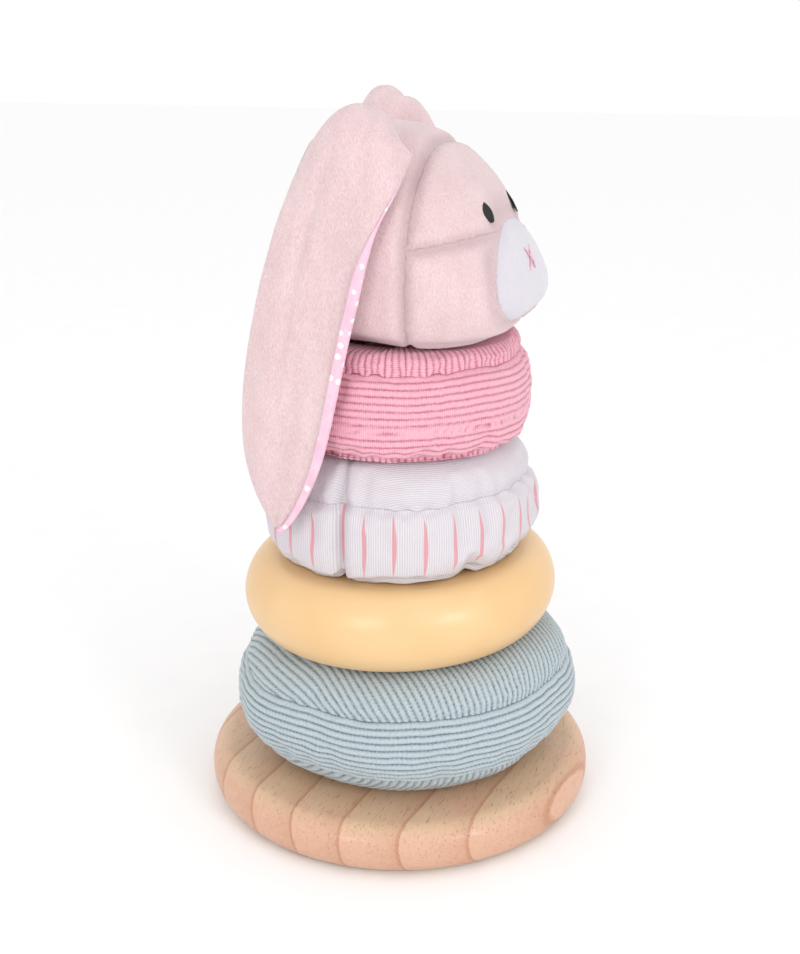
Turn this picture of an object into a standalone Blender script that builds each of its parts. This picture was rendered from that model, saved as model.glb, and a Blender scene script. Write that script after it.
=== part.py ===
"""Stacking ring toy, modelled in Blender: a wooden base and post, a wooden ring, three stuffed
fabric rings and a stuffed bunny head with hanging ears. Metres, +Z up, origin at the centre of
the base's underside, the bunny facing -Y."""

import math
from collections import namedtuple

import bmesh
import bpy
from mathutils import Matrix, Vector

# Base, post and the screw that joins them
BASE_RADIUS = 0.060
BASE_HEIGHT = 0.015
BASE_EDGE = 0.0068  # rounding of the rim, above and below
POST_RADIUS = 0.010
POST_SEAT = 0.006  # depth of the post's seat in the base
POST_TIP = 0.004  # rounding of the post's top
POST_IN_HEAD = 0.037  # how far the post reaches into the head
SCREW_RADIUS = 0.0019
SCREW_INTO_POST = 0.022
SCREW_HEAD_RADIUS = 0.0042
SCREW_HEAD_HEIGHT = 0.0026
SCREW_HEAD_ROOM = 0.0010  # how far the screw's head lies above the underside
SCREW_HEAD_CHAMFER = 0.0008
SCREW_POINT = 0.0038  # length of the screw's tapered end

# Fits
GAP = 0.0003  # between pieces that touch
RING_PLAY = 0.0025  # between the post and a fabric ring's hole
WOOD_PLAY = 0.0025  # between the post and the wooden ring's hole
SOCKET_END = 0.003  # between the post's top and the end of the head's socket
CUT_PAST = 0.006  # how far a cutting shape reaches past what it cuts

# Fabric
SKIN = 0.0012
BLUE_SKIN = 0.0014  # the blue rib knit is the heaviest

# Wooden ring
WOOD_RADIUS = 0.0478
WOOD_HEIGHT = 0.0247
WOOD_EDGE_WIDTH = 0.0096  # how far in the rounding of the rim reaches
WOOD_HOLE_EDGE = 0.0015
WOOD_ROUNDNESS = 1.87  # 2 is an ellipse

# The stack settles unevenly: from the middle of the blue ring to the bottom of the white one it
# leans by this slope, lowest behind the bunny's right side
LEAN = math.tan(math.radians(2.0))
LEAN_SIDE = math.radians(20.0)  # the high side, turned from the bunny's front to its left
LEAN_START = 0.4  # share of the blue ring's height, below its middle, where the lean begins

# Head
HEAD_HEIGHT = 0.0580
HEAD_FRONT = 0.0403  # reach of the muzzle from the post's axis
HEAD_SIDE = 0.0360
HEAD_BACK = 0.0330
MUZZLE_RISE = 0.0130  # height of the muzzle's furthest point above the head's underside
SIDE_RISE = 0.0215  # height where the head is widest
CORONAL_SEAM = 0.0135  # from the axis forward to the seam that runs over the crown
CHEEK_SEAM_RISE = 0.0273  # height of the seam between forehead and cheeks, at the coronal seam
CHEEK_SEAM_SLOPE = 0.18  # how fast it climbs towards the face
UNDERSIDE_RISE = 0.0030  # height of the seam round the underside
MUZZLE_SEAM_TOP = (0.0310, 0.0375)  # reach and rise of the muzzle panel's seam at its top
MUZZLE_SEAM_SLOPE = 0.227

# Powers and roots of the head's outline above its widest height, and below it
FACE_SHAPE = ((1.4, 2.0), (2.5, 4.0))
SKULL_SHAPE = ((2.2, 2.0), (4.0, 6.0))
MUZZLE_SQUARE = 3.6
SKULL_SQUARE = 2.1

# Eyes and nose
EYE_WIDTH = 0.0036
EYE_HEIGHT = 0.0072
EYE_THICK = 0.0010
EYE_SIDE = 0.0128
EYE_RISE = 0.0362
NOSE_RISE = 0.0222
NOSE_WIDTH = 0.0060
NOSE_HEIGHT = 0.0072
NOSE_STROKE = 0.0009
NOSE_NOTCH = 0.0007  # from the crossing's middle to the corners between the stitches
NOSE_THICK = 0.0006

# Ears, given for the left one, which is at +X
EAR_THICK = 0.0020
EAR_LINING = 0.0012
EAR_FOLD_RADIUS = 0.0100
EAR_FOLD_SIDE = HEAD_SIDE - 0.0085  # from the middle of the head to the fold's centre
EAR_FOLD_RISE = HEAD_HEIGHT - 0.0040  # fold's centre above the head's underside
EAR_OFF_RING = 0.0020  # from the widest place of the ring below the head to the hanging ear
EAR_DROP = 0.1045  # length of the ear below the fold
EAR_HALF_WIDTH = 0.0133
EAR_FOLD_HALF_WIDTH = 0.0150
EAR_WIDEST_DROP = 0.040
EAR_FRONT_OFFSET = 0.002  # the fold's middle lies this far in front of the axis
EAR_SWEEP = 0.0225  # the tip lies this much further back
EAR_TIP_CUT = 0.0005  # the cloth ends this far short of its outline's point
EAR_TIP_POWER = 3.2  # outline from the widest place to the tip
EAR_TIP_ROOT = 1.6
EAR_TIP_END = 0.999
ROOT_ANGLE = math.radians(158.0)
HINGE_ANGLE = math.radians(60.0)

# Facets round the turned pieces
WOOD_SIDES = 48
SOFT_SIDES = 28
SCREW_SIDES = 16

Ring = namedtuple("Ring", "name colour radius height widest seam_up seam_down round_up round_down skin")
RINGS = (
    Ring("blue_ring", (0.47, 0.60, 0.62), 0.0527, 0.0397, 0.0187, 0.0297, 0.0082, 2.25, 1.70, BLUE_SKIN),
    Ring("white_ring", (0.90, 0.87, 0.88), 0.0396, 0.0353, 0.0158, 0.0238, 0.0020, 1.80, 3.60, SKIN),
    Ring("pink_ring", (0.80, 0.38, 0.46), 0.0385, 0.0305, 0.0102, 0.0257, 0.0012, 3.20, 4.00, SKIN),
)
HOLE_ROUNDNESS = 2.6
SLEEVE_TURN = math.radians(32.0)  # how far round a ring's hole the sleeve reaches, up and down

BLUE, WHITE, PINK = RINGS
BLUE_BOTTOM = BASE_HEIGHT + GAP
WOOD_BOTTOM = BLUE_BOTTOM + BLUE.height + GAP
WHITE_BOTTOM = WOOD_BOTTOM + WOOD_HEIGHT + GAP
PINK_BOTTOM = WHITE_BOTTOM + WHITE.height + GAP
HEAD_BOTTOM = PINK_BOTTOM + PINK.height + GAP
RING_BOTTOMS = {"blue_ring": BLUE_BOTTOM, "white_ring": WHITE_BOTTOM, "pink_ring": PINK_BOTTOM}
POST_TOP = HEAD_BOTTOM + POST_IN_HEAD
HOLE_RADIUS = POST_RADIUS + RING_PLAY
SOCKET_OUTSIDE = HOLE_RADIUS + SKIN
SOCKET_TOP = POST_TOP + SOCKET_END + SKIN

# An ear hangs plumb from its fold unless the ring below the head pushes it out; this is its slope
EAR_PUSH = PINK.radius + EAR_OFF_RING - EAR_FOLD_SIDE - EAR_FOLD_RADIUS
EAR_FLARE = max(0.0, EAR_PUSH) / (EAR_FOLD_RISE + GAP + PINK.height - PINK.widest)

PLUSH = (0.78, 0.56, 0.55)
VELOUR = (0.90, 0.88, 0.90)
LINING = (0.88, 0.55, 0.68)
COTTON = (0.85, 0.80, 0.80)
FILLING = (0.92, 0.92, 0.90)
PINE = (0.80, 0.62, 0.44)
YELLOW_PAINT = (0.87, 0.66, 0.34)
STEEL = (0.55, 0.55, 0.57)
BLACK_THREAD = (0.02, 0.02, 0.025)
ROSE_THREAD = (0.85, 0.45, 0.55)


def clear_scene():
    for item in list(bpy.data.objects):
        bpy.data.objects.remove(item, do_unlink=True)


def material(name, colour, roughness=0.9, metallic=0.0):
    made = bpy.data.materials.new(name)
    made.use_nodes = True
    shader = made.node_tree.nodes["Principled BSDF"]
    shader.inputs["Base Color"].default_value = (*colour, 1.0)
    shader.inputs["Roughness"].default_value = roughness
    shader.inputs["Metallic"].default_value = metallic
    return made


def body_origin(name, place):
    """An empty on the axis of a body's joint, which the body's pieces hang from."""
    empty = bpy.data.objects.new(name, None)
    empty.location = place
    bpy.context.scene.collection.objects.link(empty)
    return empty


def add_piece(name, bm, origin, colour, roughness=0.9, metallic=0.0, sharp=40.0):
    """Makes an object of a mesh built in world coordinates, with its own origin on the joint's axis."""
    bmesh.ops.translate(bm, verts=bm.verts, vec=-origin.location)
    mesh = bpy.data.meshes.new(name)
    bm.to_mesh(mesh)
    bm.free()
    mesh.shade_smooth()
    mesh.set_sharp_from_angle(angle=math.radians(sharp))
    mesh.materials.append(material(name, colour, roughness, metallic))
    piece = bpy.data.objects.new(name, mesh)
    piece.parent = origin
    bpy.context.scene.collection.objects.link(piece)
    return piece


def face_out(bm):
    """Turns the faces of a closed mesh outwards."""
    bmesh.ops.recalc_face_normals(bm, faces=bm.faces)
    if bm.calc_volume(signed=True) < 0.0:
        bmesh.ops.reverse_faces(bm, faces=bm.faces)


def turned(profile, sides):
    """A body of revolution about Z. A profile that starts on the axis is open there, any other is a loop."""
    bm = bmesh.new()
    points = [bm.verts.new((radius, 0.0, z)) for radius, z in profile]
    edges = [bm.edges.new(pair) for pair in zip(points, points[1:])]
    if profile[0][0] > 0.0:
        edges.append(bm.edges.new((points[-1], points[0])))
    bmesh.ops.spin(bm, geom=points + edges, axis=(0, 0, 1), cent=(0, 0, 0),
                   angle=math.tau, steps=sides)
    bmesh.ops.remove_doubles(bm, verts=bm.verts, dist=1e-6)
    face_out(bm)
    return bm


def rounding(centre_r, centre_z, reach, rise, start, end, steps, exponent=2.0):
    """Points along a superellipse, from one angle to another, both given in degrees."""
    points = []
    for i in range(steps + 1):
        angle = math.radians(start + (end - start) * i / steps)
        points.append((centre_r + reach * powered(math.cos(angle), exponent),
                       centre_z + rise * powered(math.sin(angle), exponent)))
    return points


def powered(value, exponent):
    """Turns a sine or cosine into a superellipse's."""
    if abs(value) < 1e-9:
        return 0.0
    return math.copysign(abs(value) ** (2.0 / exponent), value)


def smooth_step(value, low, high):
    t = min(1.0, max(0.0, (value - low) / (high - low)))
    return t * t * (3.0 - 2.0 * t)


def lean(bm):
    """Raises one side of a ring by the slope that the stack has at that height."""
    side = Vector((math.sin(LEAN_SIDE), -math.cos(LEAN_SIDE), 0.0))
    middle = BLUE_BOTTOM + 0.5 * BLUE.height
    for vert in bm.verts:
        grow = smooth_step(vert.co.z, middle - LEAN_START * BLUE.height, WOOD_BOTTOM - 2.0 * GAP)
        fade = smooth_step(vert.co.z, WHITE_BOTTOM + GAP, PINK_BOTTOM - 2.0 * GAP)
        vert.co.z += LEAN * grow * (1.0 - fade) * vert.co.dot(side)


def build_base(origin):
    """Base disc with a seat for the post above and a counterbore for the screw below."""
    seat = POST_RADIUS + GAP
    hole = SCREW_RADIUS + GAP
    counterbore = SCREW_HEAD_RADIUS + GAP
    counterbore_top = SCREW_HEAD_ROOM + SCREW_HEAD_HEIGHT + GAP
    seat_floor = BASE_HEIGHT - POST_SEAT
    rim = BASE_RADIUS - BASE_EDGE
    profile = [(counterbore, 0.0)]
    profile += rounding(rim, BASE_EDGE, BASE_EDGE, BASE_EDGE, -90, 0, 4)
    profile += rounding(rim, BASE_HEIGHT - BASE_EDGE, BASE_EDGE, BASE_EDGE, 0, 90, 4)
    profile += [(seat, BASE_HEIGHT), (seat, seat_floor), (hole, seat_floor),
                (hole, counterbore_top), (counterbore, counterbore_top)]
    add_piece("base_disc", turned(profile, WOOD_SIDES), origin, PINE, 0.5)


def build_post(origin):
    """Straight dowel with a rounded top and a pilot hole for the screw."""
    bottom = BASE_HEIGHT - POST_SEAT + GAP
    pilot = SCREW_RADIUS + GAP
    pilot_top = bottom + SCREW_INTO_POST + GAP
    profile = [(0.0, pilot_top), (pilot, pilot_top), (pilot, bottom), (POST_RADIUS, bottom)]
    profile += rounding(POST_RADIUS - POST_TIP, POST_TOP - POST_TIP, POST_TIP, POST_TIP, 0, 90, 3)
    profile += [(0.0, POST_TOP)]
    add_piece("post", turned(profile, SOFT_SIDES), origin, PINE, 0.5)


def build_screw(origin):
    """Pan-head wood screw that pulls the post down on to its seat."""
    head_top = SCREW_HEAD_ROOM + SCREW_HEAD_HEIGHT
    tip = BASE_HEIGHT - POST_SEAT + SCREW_INTO_POST
    chamfer = SCREW_HEAD_CHAMFER
    profile = [
        (0.0, SCREW_HEAD_ROOM), (SCREW_HEAD_RADIUS - chamfer, SCREW_HEAD_ROOM),
        (SCREW_HEAD_RADIUS, SCREW_HEAD_ROOM + chamfer), (SCREW_HEAD_RADIUS, head_top),
        (SCREW_RADIUS, head_top), (SCREW_RADIUS, tip - SCREW_POINT), (0.0, tip),
    ]
    add_piece("post_screw", turned(profile, SCREW_SIDES), origin, STEEL, 0.35, 1.0)


def build_wooden_ring(origin):
    """Turned wooden ring with flat faces and a full round rim."""
    hole = POST_RADIUS + WOOD_PLAY
    half = 0.5 * WOOD_HEIGHT
    middle = WOOD_BOTTOM + half
    rim = WOOD_RADIUS - WOOD_EDGE_WIDTH
    edge = WOOD_HOLE_EDGE
    profile = [(hole, middle - half + edge), (hole + edge, middle - half)]
    profile += rounding(rim, middle, WOOD_EDGE_WIDTH, half, -90, 90, 10, WOOD_ROUNDNESS)
    profile += [(hole + edge, middle + half), (hole, middle + half - edge)]
    bm = turned(profile, WOOD_SIDES)
    lean(bm)
    add_piece("yellow_ring", bm, origin, YELLOW_PAINT, 0.35)


def ring_point(ring, angle, inset):
    """A point on a ring's section: angle 0 is its outermost point, 90 degrees its top."""
    across, up = math.cos(angle), math.sin(angle)
    half = 0.5 * (ring.radius - HOLE_RADIUS) - inset
    rise = (ring.height - ring.widest if up > 0.0 else ring.widest) - inset
    exponent = HOLE_ROUNDNESS
    if across > 0.0:
        exponent = ring.round_up if up > 0.0 else ring.round_down
    return (0.5 * (ring.radius + HOLE_RADIUS) + half * powered(across, exponent),
            RING_BOTTOMS[ring.name] + ring.widest + rise * powered(up, exponent))


def seam_angle(ring, height, exponent):
    """The angle on a ring's section where a seam at this height above its bottom lies."""
    above = height - ring.widest
    rise = ring.height - ring.widest if above > 0.0 else ring.widest
    return math.asin(math.copysign((abs(above) / rise) ** (0.5 * exponent), above))


def spaced(start, end, steps):
    return [start + (end - start) * i / steps for i in range(steps + 1)]


def build_skin(ring, part, start, end, steps, origin):
    """One panel of a ring's cover, between two seams on its section."""
    margin = GAP / (ring.radius - HOLE_RADIUS)
    angles = spaced(start + margin, end - margin, steps)
    profile = [ring_point(ring, angle, 0.0) for angle in angles]
    profile += [ring_point(ring, angle, ring.skin) for angle in reversed(angles)]
    bm = turned(profile, SOFT_SIDES)
    lean(bm)
    add_piece(f"{ring.name}_{part}", bm, origin, ring.colour)


def build_fabric_ring(ring, origin):
    """A stuffed ring: side band, top and bottom panels, the sleeve round the hole, and the filling."""
    low = seam_angle(ring, ring.seam_down, ring.round_down)
    high = seam_angle(ring, ring.seam_up, ring.round_up)
    inner_high = math.pi - SLEEVE_TURN
    inner_low = math.pi + SLEEVE_TURN
    panels = (("band", low, high, 3), ("top_panel", high, inner_high, 4),
              ("sleeve", inner_high, inner_low, 2), ("bottom_panel", inner_low, low + math.tau, 3))
    inset = ring.skin + GAP
    filling = []
    for part, start, end, steps in panels:
        build_skin(ring, part, start, end, steps, origin)
        filling += [ring_point(ring, angle, inset) for angle in spaced(start, end, steps)[:-1]]
    bm = turned(filling, SOFT_SIDES)
    lean(bm)
    add_piece(f"{ring.name}_stuffing", bm, origin, FILLING)


def dome(rise, widest, reach, shape):
    """Reach of the head at a height: full at its widest height, nothing at its ends."""
    if rise > widest:
        part, (power, root) = (rise - widest) / (HEAD_HEIGHT - widest), shape[0]
    else:
        part, (power, root) = (widest - rise) / widest, shape[1]
    return reach * max(0.0, 1.0 - part ** power) ** (1.0 / root)


def face_squareness(rise):
    """Exponent of the face's section: flat across the muzzle, rounder from the eyes up."""
    return MUZZLE_SQUARE - (MUZZLE_SQUARE - SKULL_SQUARE) * smooth_step(rise, MUZZLE_RISE, EYE_RISE)


def head_point(direction, inset):
    """Moves a point of a unit sphere to the head's surface, or to a surface inside it."""
    low, high = inset, HEAD_HEIGHT - inset
    share = 0.5 * (1.0 + direction.z)
    rise = low + (high - low) * share
    full = HEAD_HEIGHT * share
    front = dome(full, MUZZLE_RISE, HEAD_FRONT, FACE_SHAPE)
    side = dome(full, SIDE_RISE, HEAD_SIDE, SKULL_SHAPE)
    back = dome(full, SIDE_RISE, HEAD_BACK, SKULL_SHAPE)
    shrink = 1.0 - inset / HEAD_SIDE
    angle = math.atan2(direction.x, -direction.y)
    forward = math.cos(angle) > 0.0
    square = face_squareness(full) if forward else SKULL_SQUARE
    length = front if forward else back
    return Vector((shrink * side * powered(math.sin(angle), square),
                   -shrink * length * powered(math.cos(angle), square),
                   HEAD_BOTTOM + rise))


def head_ball(inset):
    bm = bmesh.new()
    bmesh.ops.create_uvsphere(bm, u_segments=24, v_segments=14, radius=1.0)
    for vert in bm.verts:
        vert.co = head_point(vert.co, inset)
    face_out(bm)
    return bm


def cutting_tool(name, bm):
    """A closed mesh that only cuts other pieces."""
    mesh = bpy.data.meshes.new(name)
    bm.to_mesh(mesh)
    bm.free()
    tool = bpy.data.objects.new(name, mesh)
    tool.hide_render = True
    tool.display_type = "WIRE"
    bpy.context.scene.collection.objects.link(tool)
    return tool


def upright_cylinder(radius, bottom, top):
    bm = bmesh.new()
    bmesh.ops.create_cone(bm, cap_ends=True, segments=SOFT_SIDES, radius1=radius, radius2=radius,
                          depth=top - bottom)
    bmesh.ops.translate(bm, verts=bm.verts, vec=(0.0, 0.0, 0.5 * (top + bottom)))
    return bm


def cut_with(piece, tool):
    cut = piece.modifiers.new(tool.name, "BOOLEAN")
    cut.operation = "DIFFERENCE"
    cut.solver = "EXACT"
    cut.object = tool


def head_panel(name, keeps, origin, colour, inside):
    """One fabric panel of the head: the head cut back to the kept side of each plane, and hollowed."""
    bm = head_ball(0.0)
    for place, normal in keeps:
        normal = Vector(normal).normalized()
        cut = bmesh.ops.bisect_plane(bm, geom=bm.verts[:] + bm.edges[:] + bm.faces[:], dist=1e-6,
                                     plane_co=Vector(place) + 0.5 * GAP * normal, plane_no=normal,
                                     clear_inner=True)
        rim = [item for item in cut["geom_cut"] if isinstance(item, bmesh.types.BMEdge)]
        bmesh.ops.holes_fill(bm, edges=rim, sides=0)
    panel = add_piece(name, bm, origin, colour)
    cut_with(panel, inside)
    return panel


def build_head(origin):
    """The head's panels, the post's socket and the filling round it."""
    coronal = (0.0, -CORONAL_SEAM, 0.0)
    cheek = (0.0, -CORONAL_SEAM, HEAD_BOTTOM + CHEEK_SEAM_RISE)
    above_cheek = Vector((0.0, CHEEK_SEAM_SLOPE, 1.0))
    under = (0.0, 0.0, HEAD_BOTTOM + UNDERSIDE_RISE)
    reach, rise = MUZZLE_SEAM_TOP
    muzzle = (0.0, -reach, HEAD_BOTTOM + rise)
    ahead = Vector((0.0, -1.0, MUZZLE_SEAM_SLOPE))
    face = [(coronal, (0, -1, 0)), (muzzle, -ahead)]
    inside = cutting_tool("head_inside", head_ball(SKIN))
    head_panel("head_back", [(coronal, (0, 1, 0)), (under, (0, 0, 1))], origin, PLUSH, inside)
    head_panel("head_forehead", face + [(cheek, above_cheek)], origin, PLUSH, inside)
    for name, side in (("head_cheek_left", 1), ("head_cheek_right", -1)):
        keeps = [(cheek, -above_cheek), (under, (0, 0, 1)), ((0, 0, 0), (side, 0, 0))]
        head_panel(name, face + keeps, origin, PLUSH, inside)
    head_panel("head_muzzle", [(muzzle, ahead)], origin, VELOUR, inside)
    underside = head_panel("head_underside", [(under, (0, 0, -1))], origin, PLUSH, inside)
    room = upright_cylinder(SOCKET_OUTSIDE + GAP, HEAD_BOTTOM - CUT_PAST, SOCKET_TOP + GAP)
    room = cutting_tool("socket_room", room)
    cut_with(underside, room)
    wall = SOCKET_TOP - SKIN
    profile = [(0.0, wall), (HOLE_RADIUS, wall), (HOLE_RADIUS, HEAD_BOTTOM),
               (SOCKET_OUTSIDE, HEAD_BOTTOM), (SOCKET_OUTSIDE, SOCKET_TOP), (0.0, SOCKET_TOP)]
    add_piece("head_socket", turned(profile, SOFT_SIDES), origin, COTTON)
    filling = add_piece("head_stuffing", head_ball(SKIN + 2.0 * GAP), origin, FILLING)
    cut_with(filling, room)


def head_surface(side, rise):
    """The point of the face at a distance to the bunny's left and a height, and its normal."""
    full = max(1e-4, rise)
    front = dome(full, MUZZLE_RISE, HEAD_FRONT, FACE_SHAPE)
    width = dome(full, SIDE_RISE, HEAD_SIDE, SKULL_SHAPE)
    square = face_squareness(full)
    reach = front * (1.0 - (abs(side) / width) ** square) ** (1.0 / square)
    return Vector((side, -reach, HEAD_BOTTOM + rise))


def face_frame(side, rise):
    """A matrix on the face: local -Y points out of it, local Z up along it."""
    step = 0.001
    place = head_surface(side, rise)
    up = (head_surface(side, rise + step) - head_surface(side, rise - step)).normalized()
    left = (head_surface(side + step, rise) - head_surface(side - step, rise)).normalized()
    out = left.cross(up).normalized()
    across = up.cross(out)
    frame = Matrix((across, -out, up)).transposed().to_4x4()
    return Matrix.Translation(place + out * (GAP + 0.5 * SKIN)) @ frame


def build_eyes(origin):
    """Almond pads of satin stitch, one each side of the face."""
    for name, side in (("left_eye", 1), ("right_eye", -1)):
        bm = bmesh.new()
        bmesh.ops.create_uvsphere(bm, u_segments=12, v_segments=8, radius=0.5)
        bmesh.ops.scale(bm, verts=bm.verts, vec=(EYE_WIDTH, EYE_THICK, EYE_HEIGHT))
        bmesh.ops.transform(bm, verts=bm.verts, matrix=face_frame(side * EYE_SIDE, EYE_RISE))
        face_out(bm)
        add_piece(name, bm, origin, BLACK_THREAD, 0.5)


def build_nose(origin):
    """Two crossed stitches on the muzzle."""
    half_width, half_height = 0.5 * NOSE_WIDTH, 0.5 * NOSE_HEIGHT
    stroke = 0.5 * NOSE_STROKE
    notch = NOSE_NOTCH
    outline = []
    for side, up in ((1, 1), (-1, 1), (-1, -1), (1, -1)):
        along = Vector((side * half_width, up * half_height))
        across = Vector((-along.y, along.x)).normalized() * stroke
        outline += [along - across, along + across]
        if side * up > 0:
            outline.append(Vector((0.0, up * notch)))
        else:
            outline.append(Vector((side * notch, 0.0)))
    bm = bmesh.new()
    corners = [bm.verts.new((point.x, 0.0, point.y)) for point in outline]
    face = bm.faces.new(corners)
    made = bmesh.ops.extrude_face_region(bm, geom=[face])
    moved = [item for item in made["geom"] if isinstance(item, bmesh.types.BMVert)]
    bmesh.ops.translate(bm, verts=moved, vec=(0.0, -NOSE_THICK, 0.0))
    bmesh.ops.transform(bm, verts=bm.verts, matrix=face_frame(0.0, NOSE_RISE))
    face_out(bm)
    add_piece("nose_stitch", bm, origin, ROSE_THREAD, 0.7)


def ear_middle(along):
    """A point of the left ear's middle line, its outward normal, and how far below the fold it is."""
    fold_x = EAR_FOLD_SIDE
    fold_z = HEAD_BOTTOM + EAR_FOLD_RISE
    arc = EAR_FOLD_RADIUS * ROOT_ANGLE
    if along < arc:
        angle = ROOT_ANGLE - along / EAR_FOLD_RADIUS
        normal = Vector((math.cos(angle), 0.0, math.sin(angle)))
        return Vector((fold_x, 0.0, fold_z)) + EAR_FOLD_RADIUS * normal, normal, 0.0
    drop = along - arc
    place = Vector((fold_x + EAR_FOLD_RADIUS + EAR_FLARE * drop, 0.0, fold_z - drop))
    return place, Vector((1.0, 0.0, EAR_FLARE)).normalized(), drop


def ear_half_width(drop):
    """Half the ear's width at a distance below the fold: a leaf with a round tip."""
    if drop < EAR_WIDEST_DROP:
        rest = 1.0 - drop / EAR_WIDEST_DROP
        return EAR_HALF_WIDTH + (EAR_FOLD_HALF_WIDTH - EAR_HALF_WIDTH) * rest * rest
    part = min(EAR_TIP_END, (drop - EAR_WIDEST_DROP) / (EAR_DROP - EAR_WIDEST_DROP))
    return EAR_HALF_WIDTH * (1.0 - part ** EAR_TIP_POWER) ** (1.0 / EAR_TIP_ROOT)


def ear_point(along, across, lift):
    """A point of the left ear: along its length, across it from -1 in front to 1 behind, off its middle."""
    place, normal, drop = ear_middle(along)
    swept = 1.0 - (1.0 - drop / EAR_DROP) ** 2
    behind = -EAR_FRONT_OFFSET + EAR_SWEEP * swept + across * ear_half_width(drop)
    return place + normal * lift + Vector((0.0, behind, 0.0))


def ear_sheet(start, end, low, high, rows, mirror):
    """A closed sheet between two lengths and two lifts off the ear's middle surface."""
    bm = bmesh.new()
    bmesh.ops.create_grid(bm, x_segments=4, y_segments=rows, size=1.0)
    made = bmesh.ops.extrude_face_region(bm, geom=bm.faces[:])
    raised = {item for item in made["geom"] if isinstance(item, bmesh.types.BMVert)}
    for vert in bm.verts:
        lift = high if vert in raised else low
        along = start + (end - start) * 0.5 * (1.0 + vert.co.y)
        vert.co = ear_point(along, vert.co.x, lift)
        vert.co.x *= mirror
    face_out(bm)
    return bm


def hinge_place(mirror):
    """Where the ear starts to hang: on the outer face of its fold, so that lifting the ear opens it."""
    turn = EAR_FOLD_RADIUS * (ROOT_ANGLE - HINGE_ANGLE)
    place, normal, _ = ear_middle(turn)
    place += normal * EAR_THICK
    return Vector((mirror * place.x, 0.0, place.z)), turn


def build_ear(side, mirror, head):
    """The gathered root sewn to the head, and the hanging ear: plush outside, printed lining inside."""
    place, turn = hinge_place(mirror)
    hinge = body_origin(f"{side}_ear_hinge", place)
    tip = EAR_FOLD_RADIUS * ROOT_ANGLE + EAR_DROP - EAR_TIP_CUT
    seam = 0.5 * GAP
    inside = -(EAR_LINING + GAP)
    root = ear_sheet(0.0, turn - seam, inside, EAR_THICK, 5, mirror)
    add_piece(f"{side}_ear_root", root, head, PLUSH)
    outer = ear_sheet(turn + seam, tip, 0.0, EAR_THICK, 15, mirror)
    add_piece(f"{side}_ear_outer", outer, hinge, PLUSH)
    lining = ear_sheet(turn + seam, tip, inside, -GAP, 15, mirror)
    add_piece(f"{side}_ear_lining", lining, hinge, LINING)


def main():
    clear_scene()
    base = body_origin("base_origin", (0.0, 0.0, 0.0))
    build_base(base)
    build_post(base)
    build_screw(base)
    build_fabric_ring(BLUE, body_origin("blue_ring_origin", (0.0, 0.0, BLUE_BOTTOM)))
    build_wooden_ring(body_origin("yellow_ring_origin", (0.0, 0.0, WOOD_BOTTOM)))
    build_fabric_ring(WHITE, body_origin("white_ring_origin", (0.0, 0.0, WHITE_BOTTOM)))
    build_fabric_ring(PINK, body_origin("pink_ring_origin", (0.0, 0.0, PINK_BOTTOM)))
    head = body_origin("head_origin", (0.0, 0.0, HEAD_BOTTOM))
    build_head(head)
    build_eyes(head)
    build_nose(head)
    build_ear("left", 1.0, head)
    build_ear("right", -1.0, head)


main()
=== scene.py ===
"""Looks of a stacking ring toy: a wooden base and post, a painted wooden ring, three stuffed fabric
rings and a plush bunny head with hanging ears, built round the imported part. Metres, +Z up, the
bunny facing -Y."""

import math
from collections import namedtuple

import bmesh
import bpy
import numpy as np
from mathutils import Matrix, Vector


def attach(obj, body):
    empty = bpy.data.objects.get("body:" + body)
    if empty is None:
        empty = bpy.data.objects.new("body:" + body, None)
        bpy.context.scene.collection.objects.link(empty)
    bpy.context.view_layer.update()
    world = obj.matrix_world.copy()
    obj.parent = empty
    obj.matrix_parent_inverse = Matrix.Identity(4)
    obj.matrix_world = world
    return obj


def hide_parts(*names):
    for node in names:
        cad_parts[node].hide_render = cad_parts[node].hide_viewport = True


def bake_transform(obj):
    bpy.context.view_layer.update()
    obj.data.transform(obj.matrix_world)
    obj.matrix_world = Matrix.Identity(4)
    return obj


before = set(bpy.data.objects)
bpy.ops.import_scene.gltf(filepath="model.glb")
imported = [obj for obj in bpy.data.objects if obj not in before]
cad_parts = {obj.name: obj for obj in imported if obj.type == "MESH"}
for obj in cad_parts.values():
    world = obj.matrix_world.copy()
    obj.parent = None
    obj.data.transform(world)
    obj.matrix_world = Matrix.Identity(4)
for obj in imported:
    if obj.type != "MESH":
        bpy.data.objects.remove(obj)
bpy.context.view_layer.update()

bl_info = {
    "name": "Stacking ring toy",
    "version": (1, 0, 0),
    "blender": (4, 5, 0),
    "location": "3D View > Sidebar > Toy",
    "description": "Builds a soft and wooden stacking ring toy round its packed part",
    "category": "Add Mesh",
}

# Wood
BASE_RADIUS = 0.060
BASE_HEIGHT = 0.015
BASE_EDGE = 0.0068
POST_RADIUS = 0.010
POST_SEAT = 0.006
POST_TIP = 0.004
POST_IN_HEAD = 0.037
SCREW_RADIUS = 0.0019
SCREW_INTO_POST = 0.022
SCREW_HEAD_RADIUS = 0.0042
SCREW_HEAD_HEIGHT = 0.0026
SCREW_HEAD_ROOM = 0.0010
WOOD_RADIUS = 0.0478
WOOD_HEIGHT = 0.0247
WOOD_EDGE_WIDTH = 0.0096
WOOD_HOLE_EDGE = 0.0015
WOOD_ROUNDNESS = 1.87

# Fits
GAP = 0.0003
PLAY = 0.0025
SOCKET_END = 0.003
SKIN = 0.0012

# The stack settles unevenly: it leans by this slope between the blue ring and the white one
LEAN = math.tan(math.radians(2.0))
LEAN_SIDE = math.radians(20.0)
HIGH_SIDE = (math.sin(LEAN_SIDE), -math.cos(LEAN_SIDE))

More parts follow.
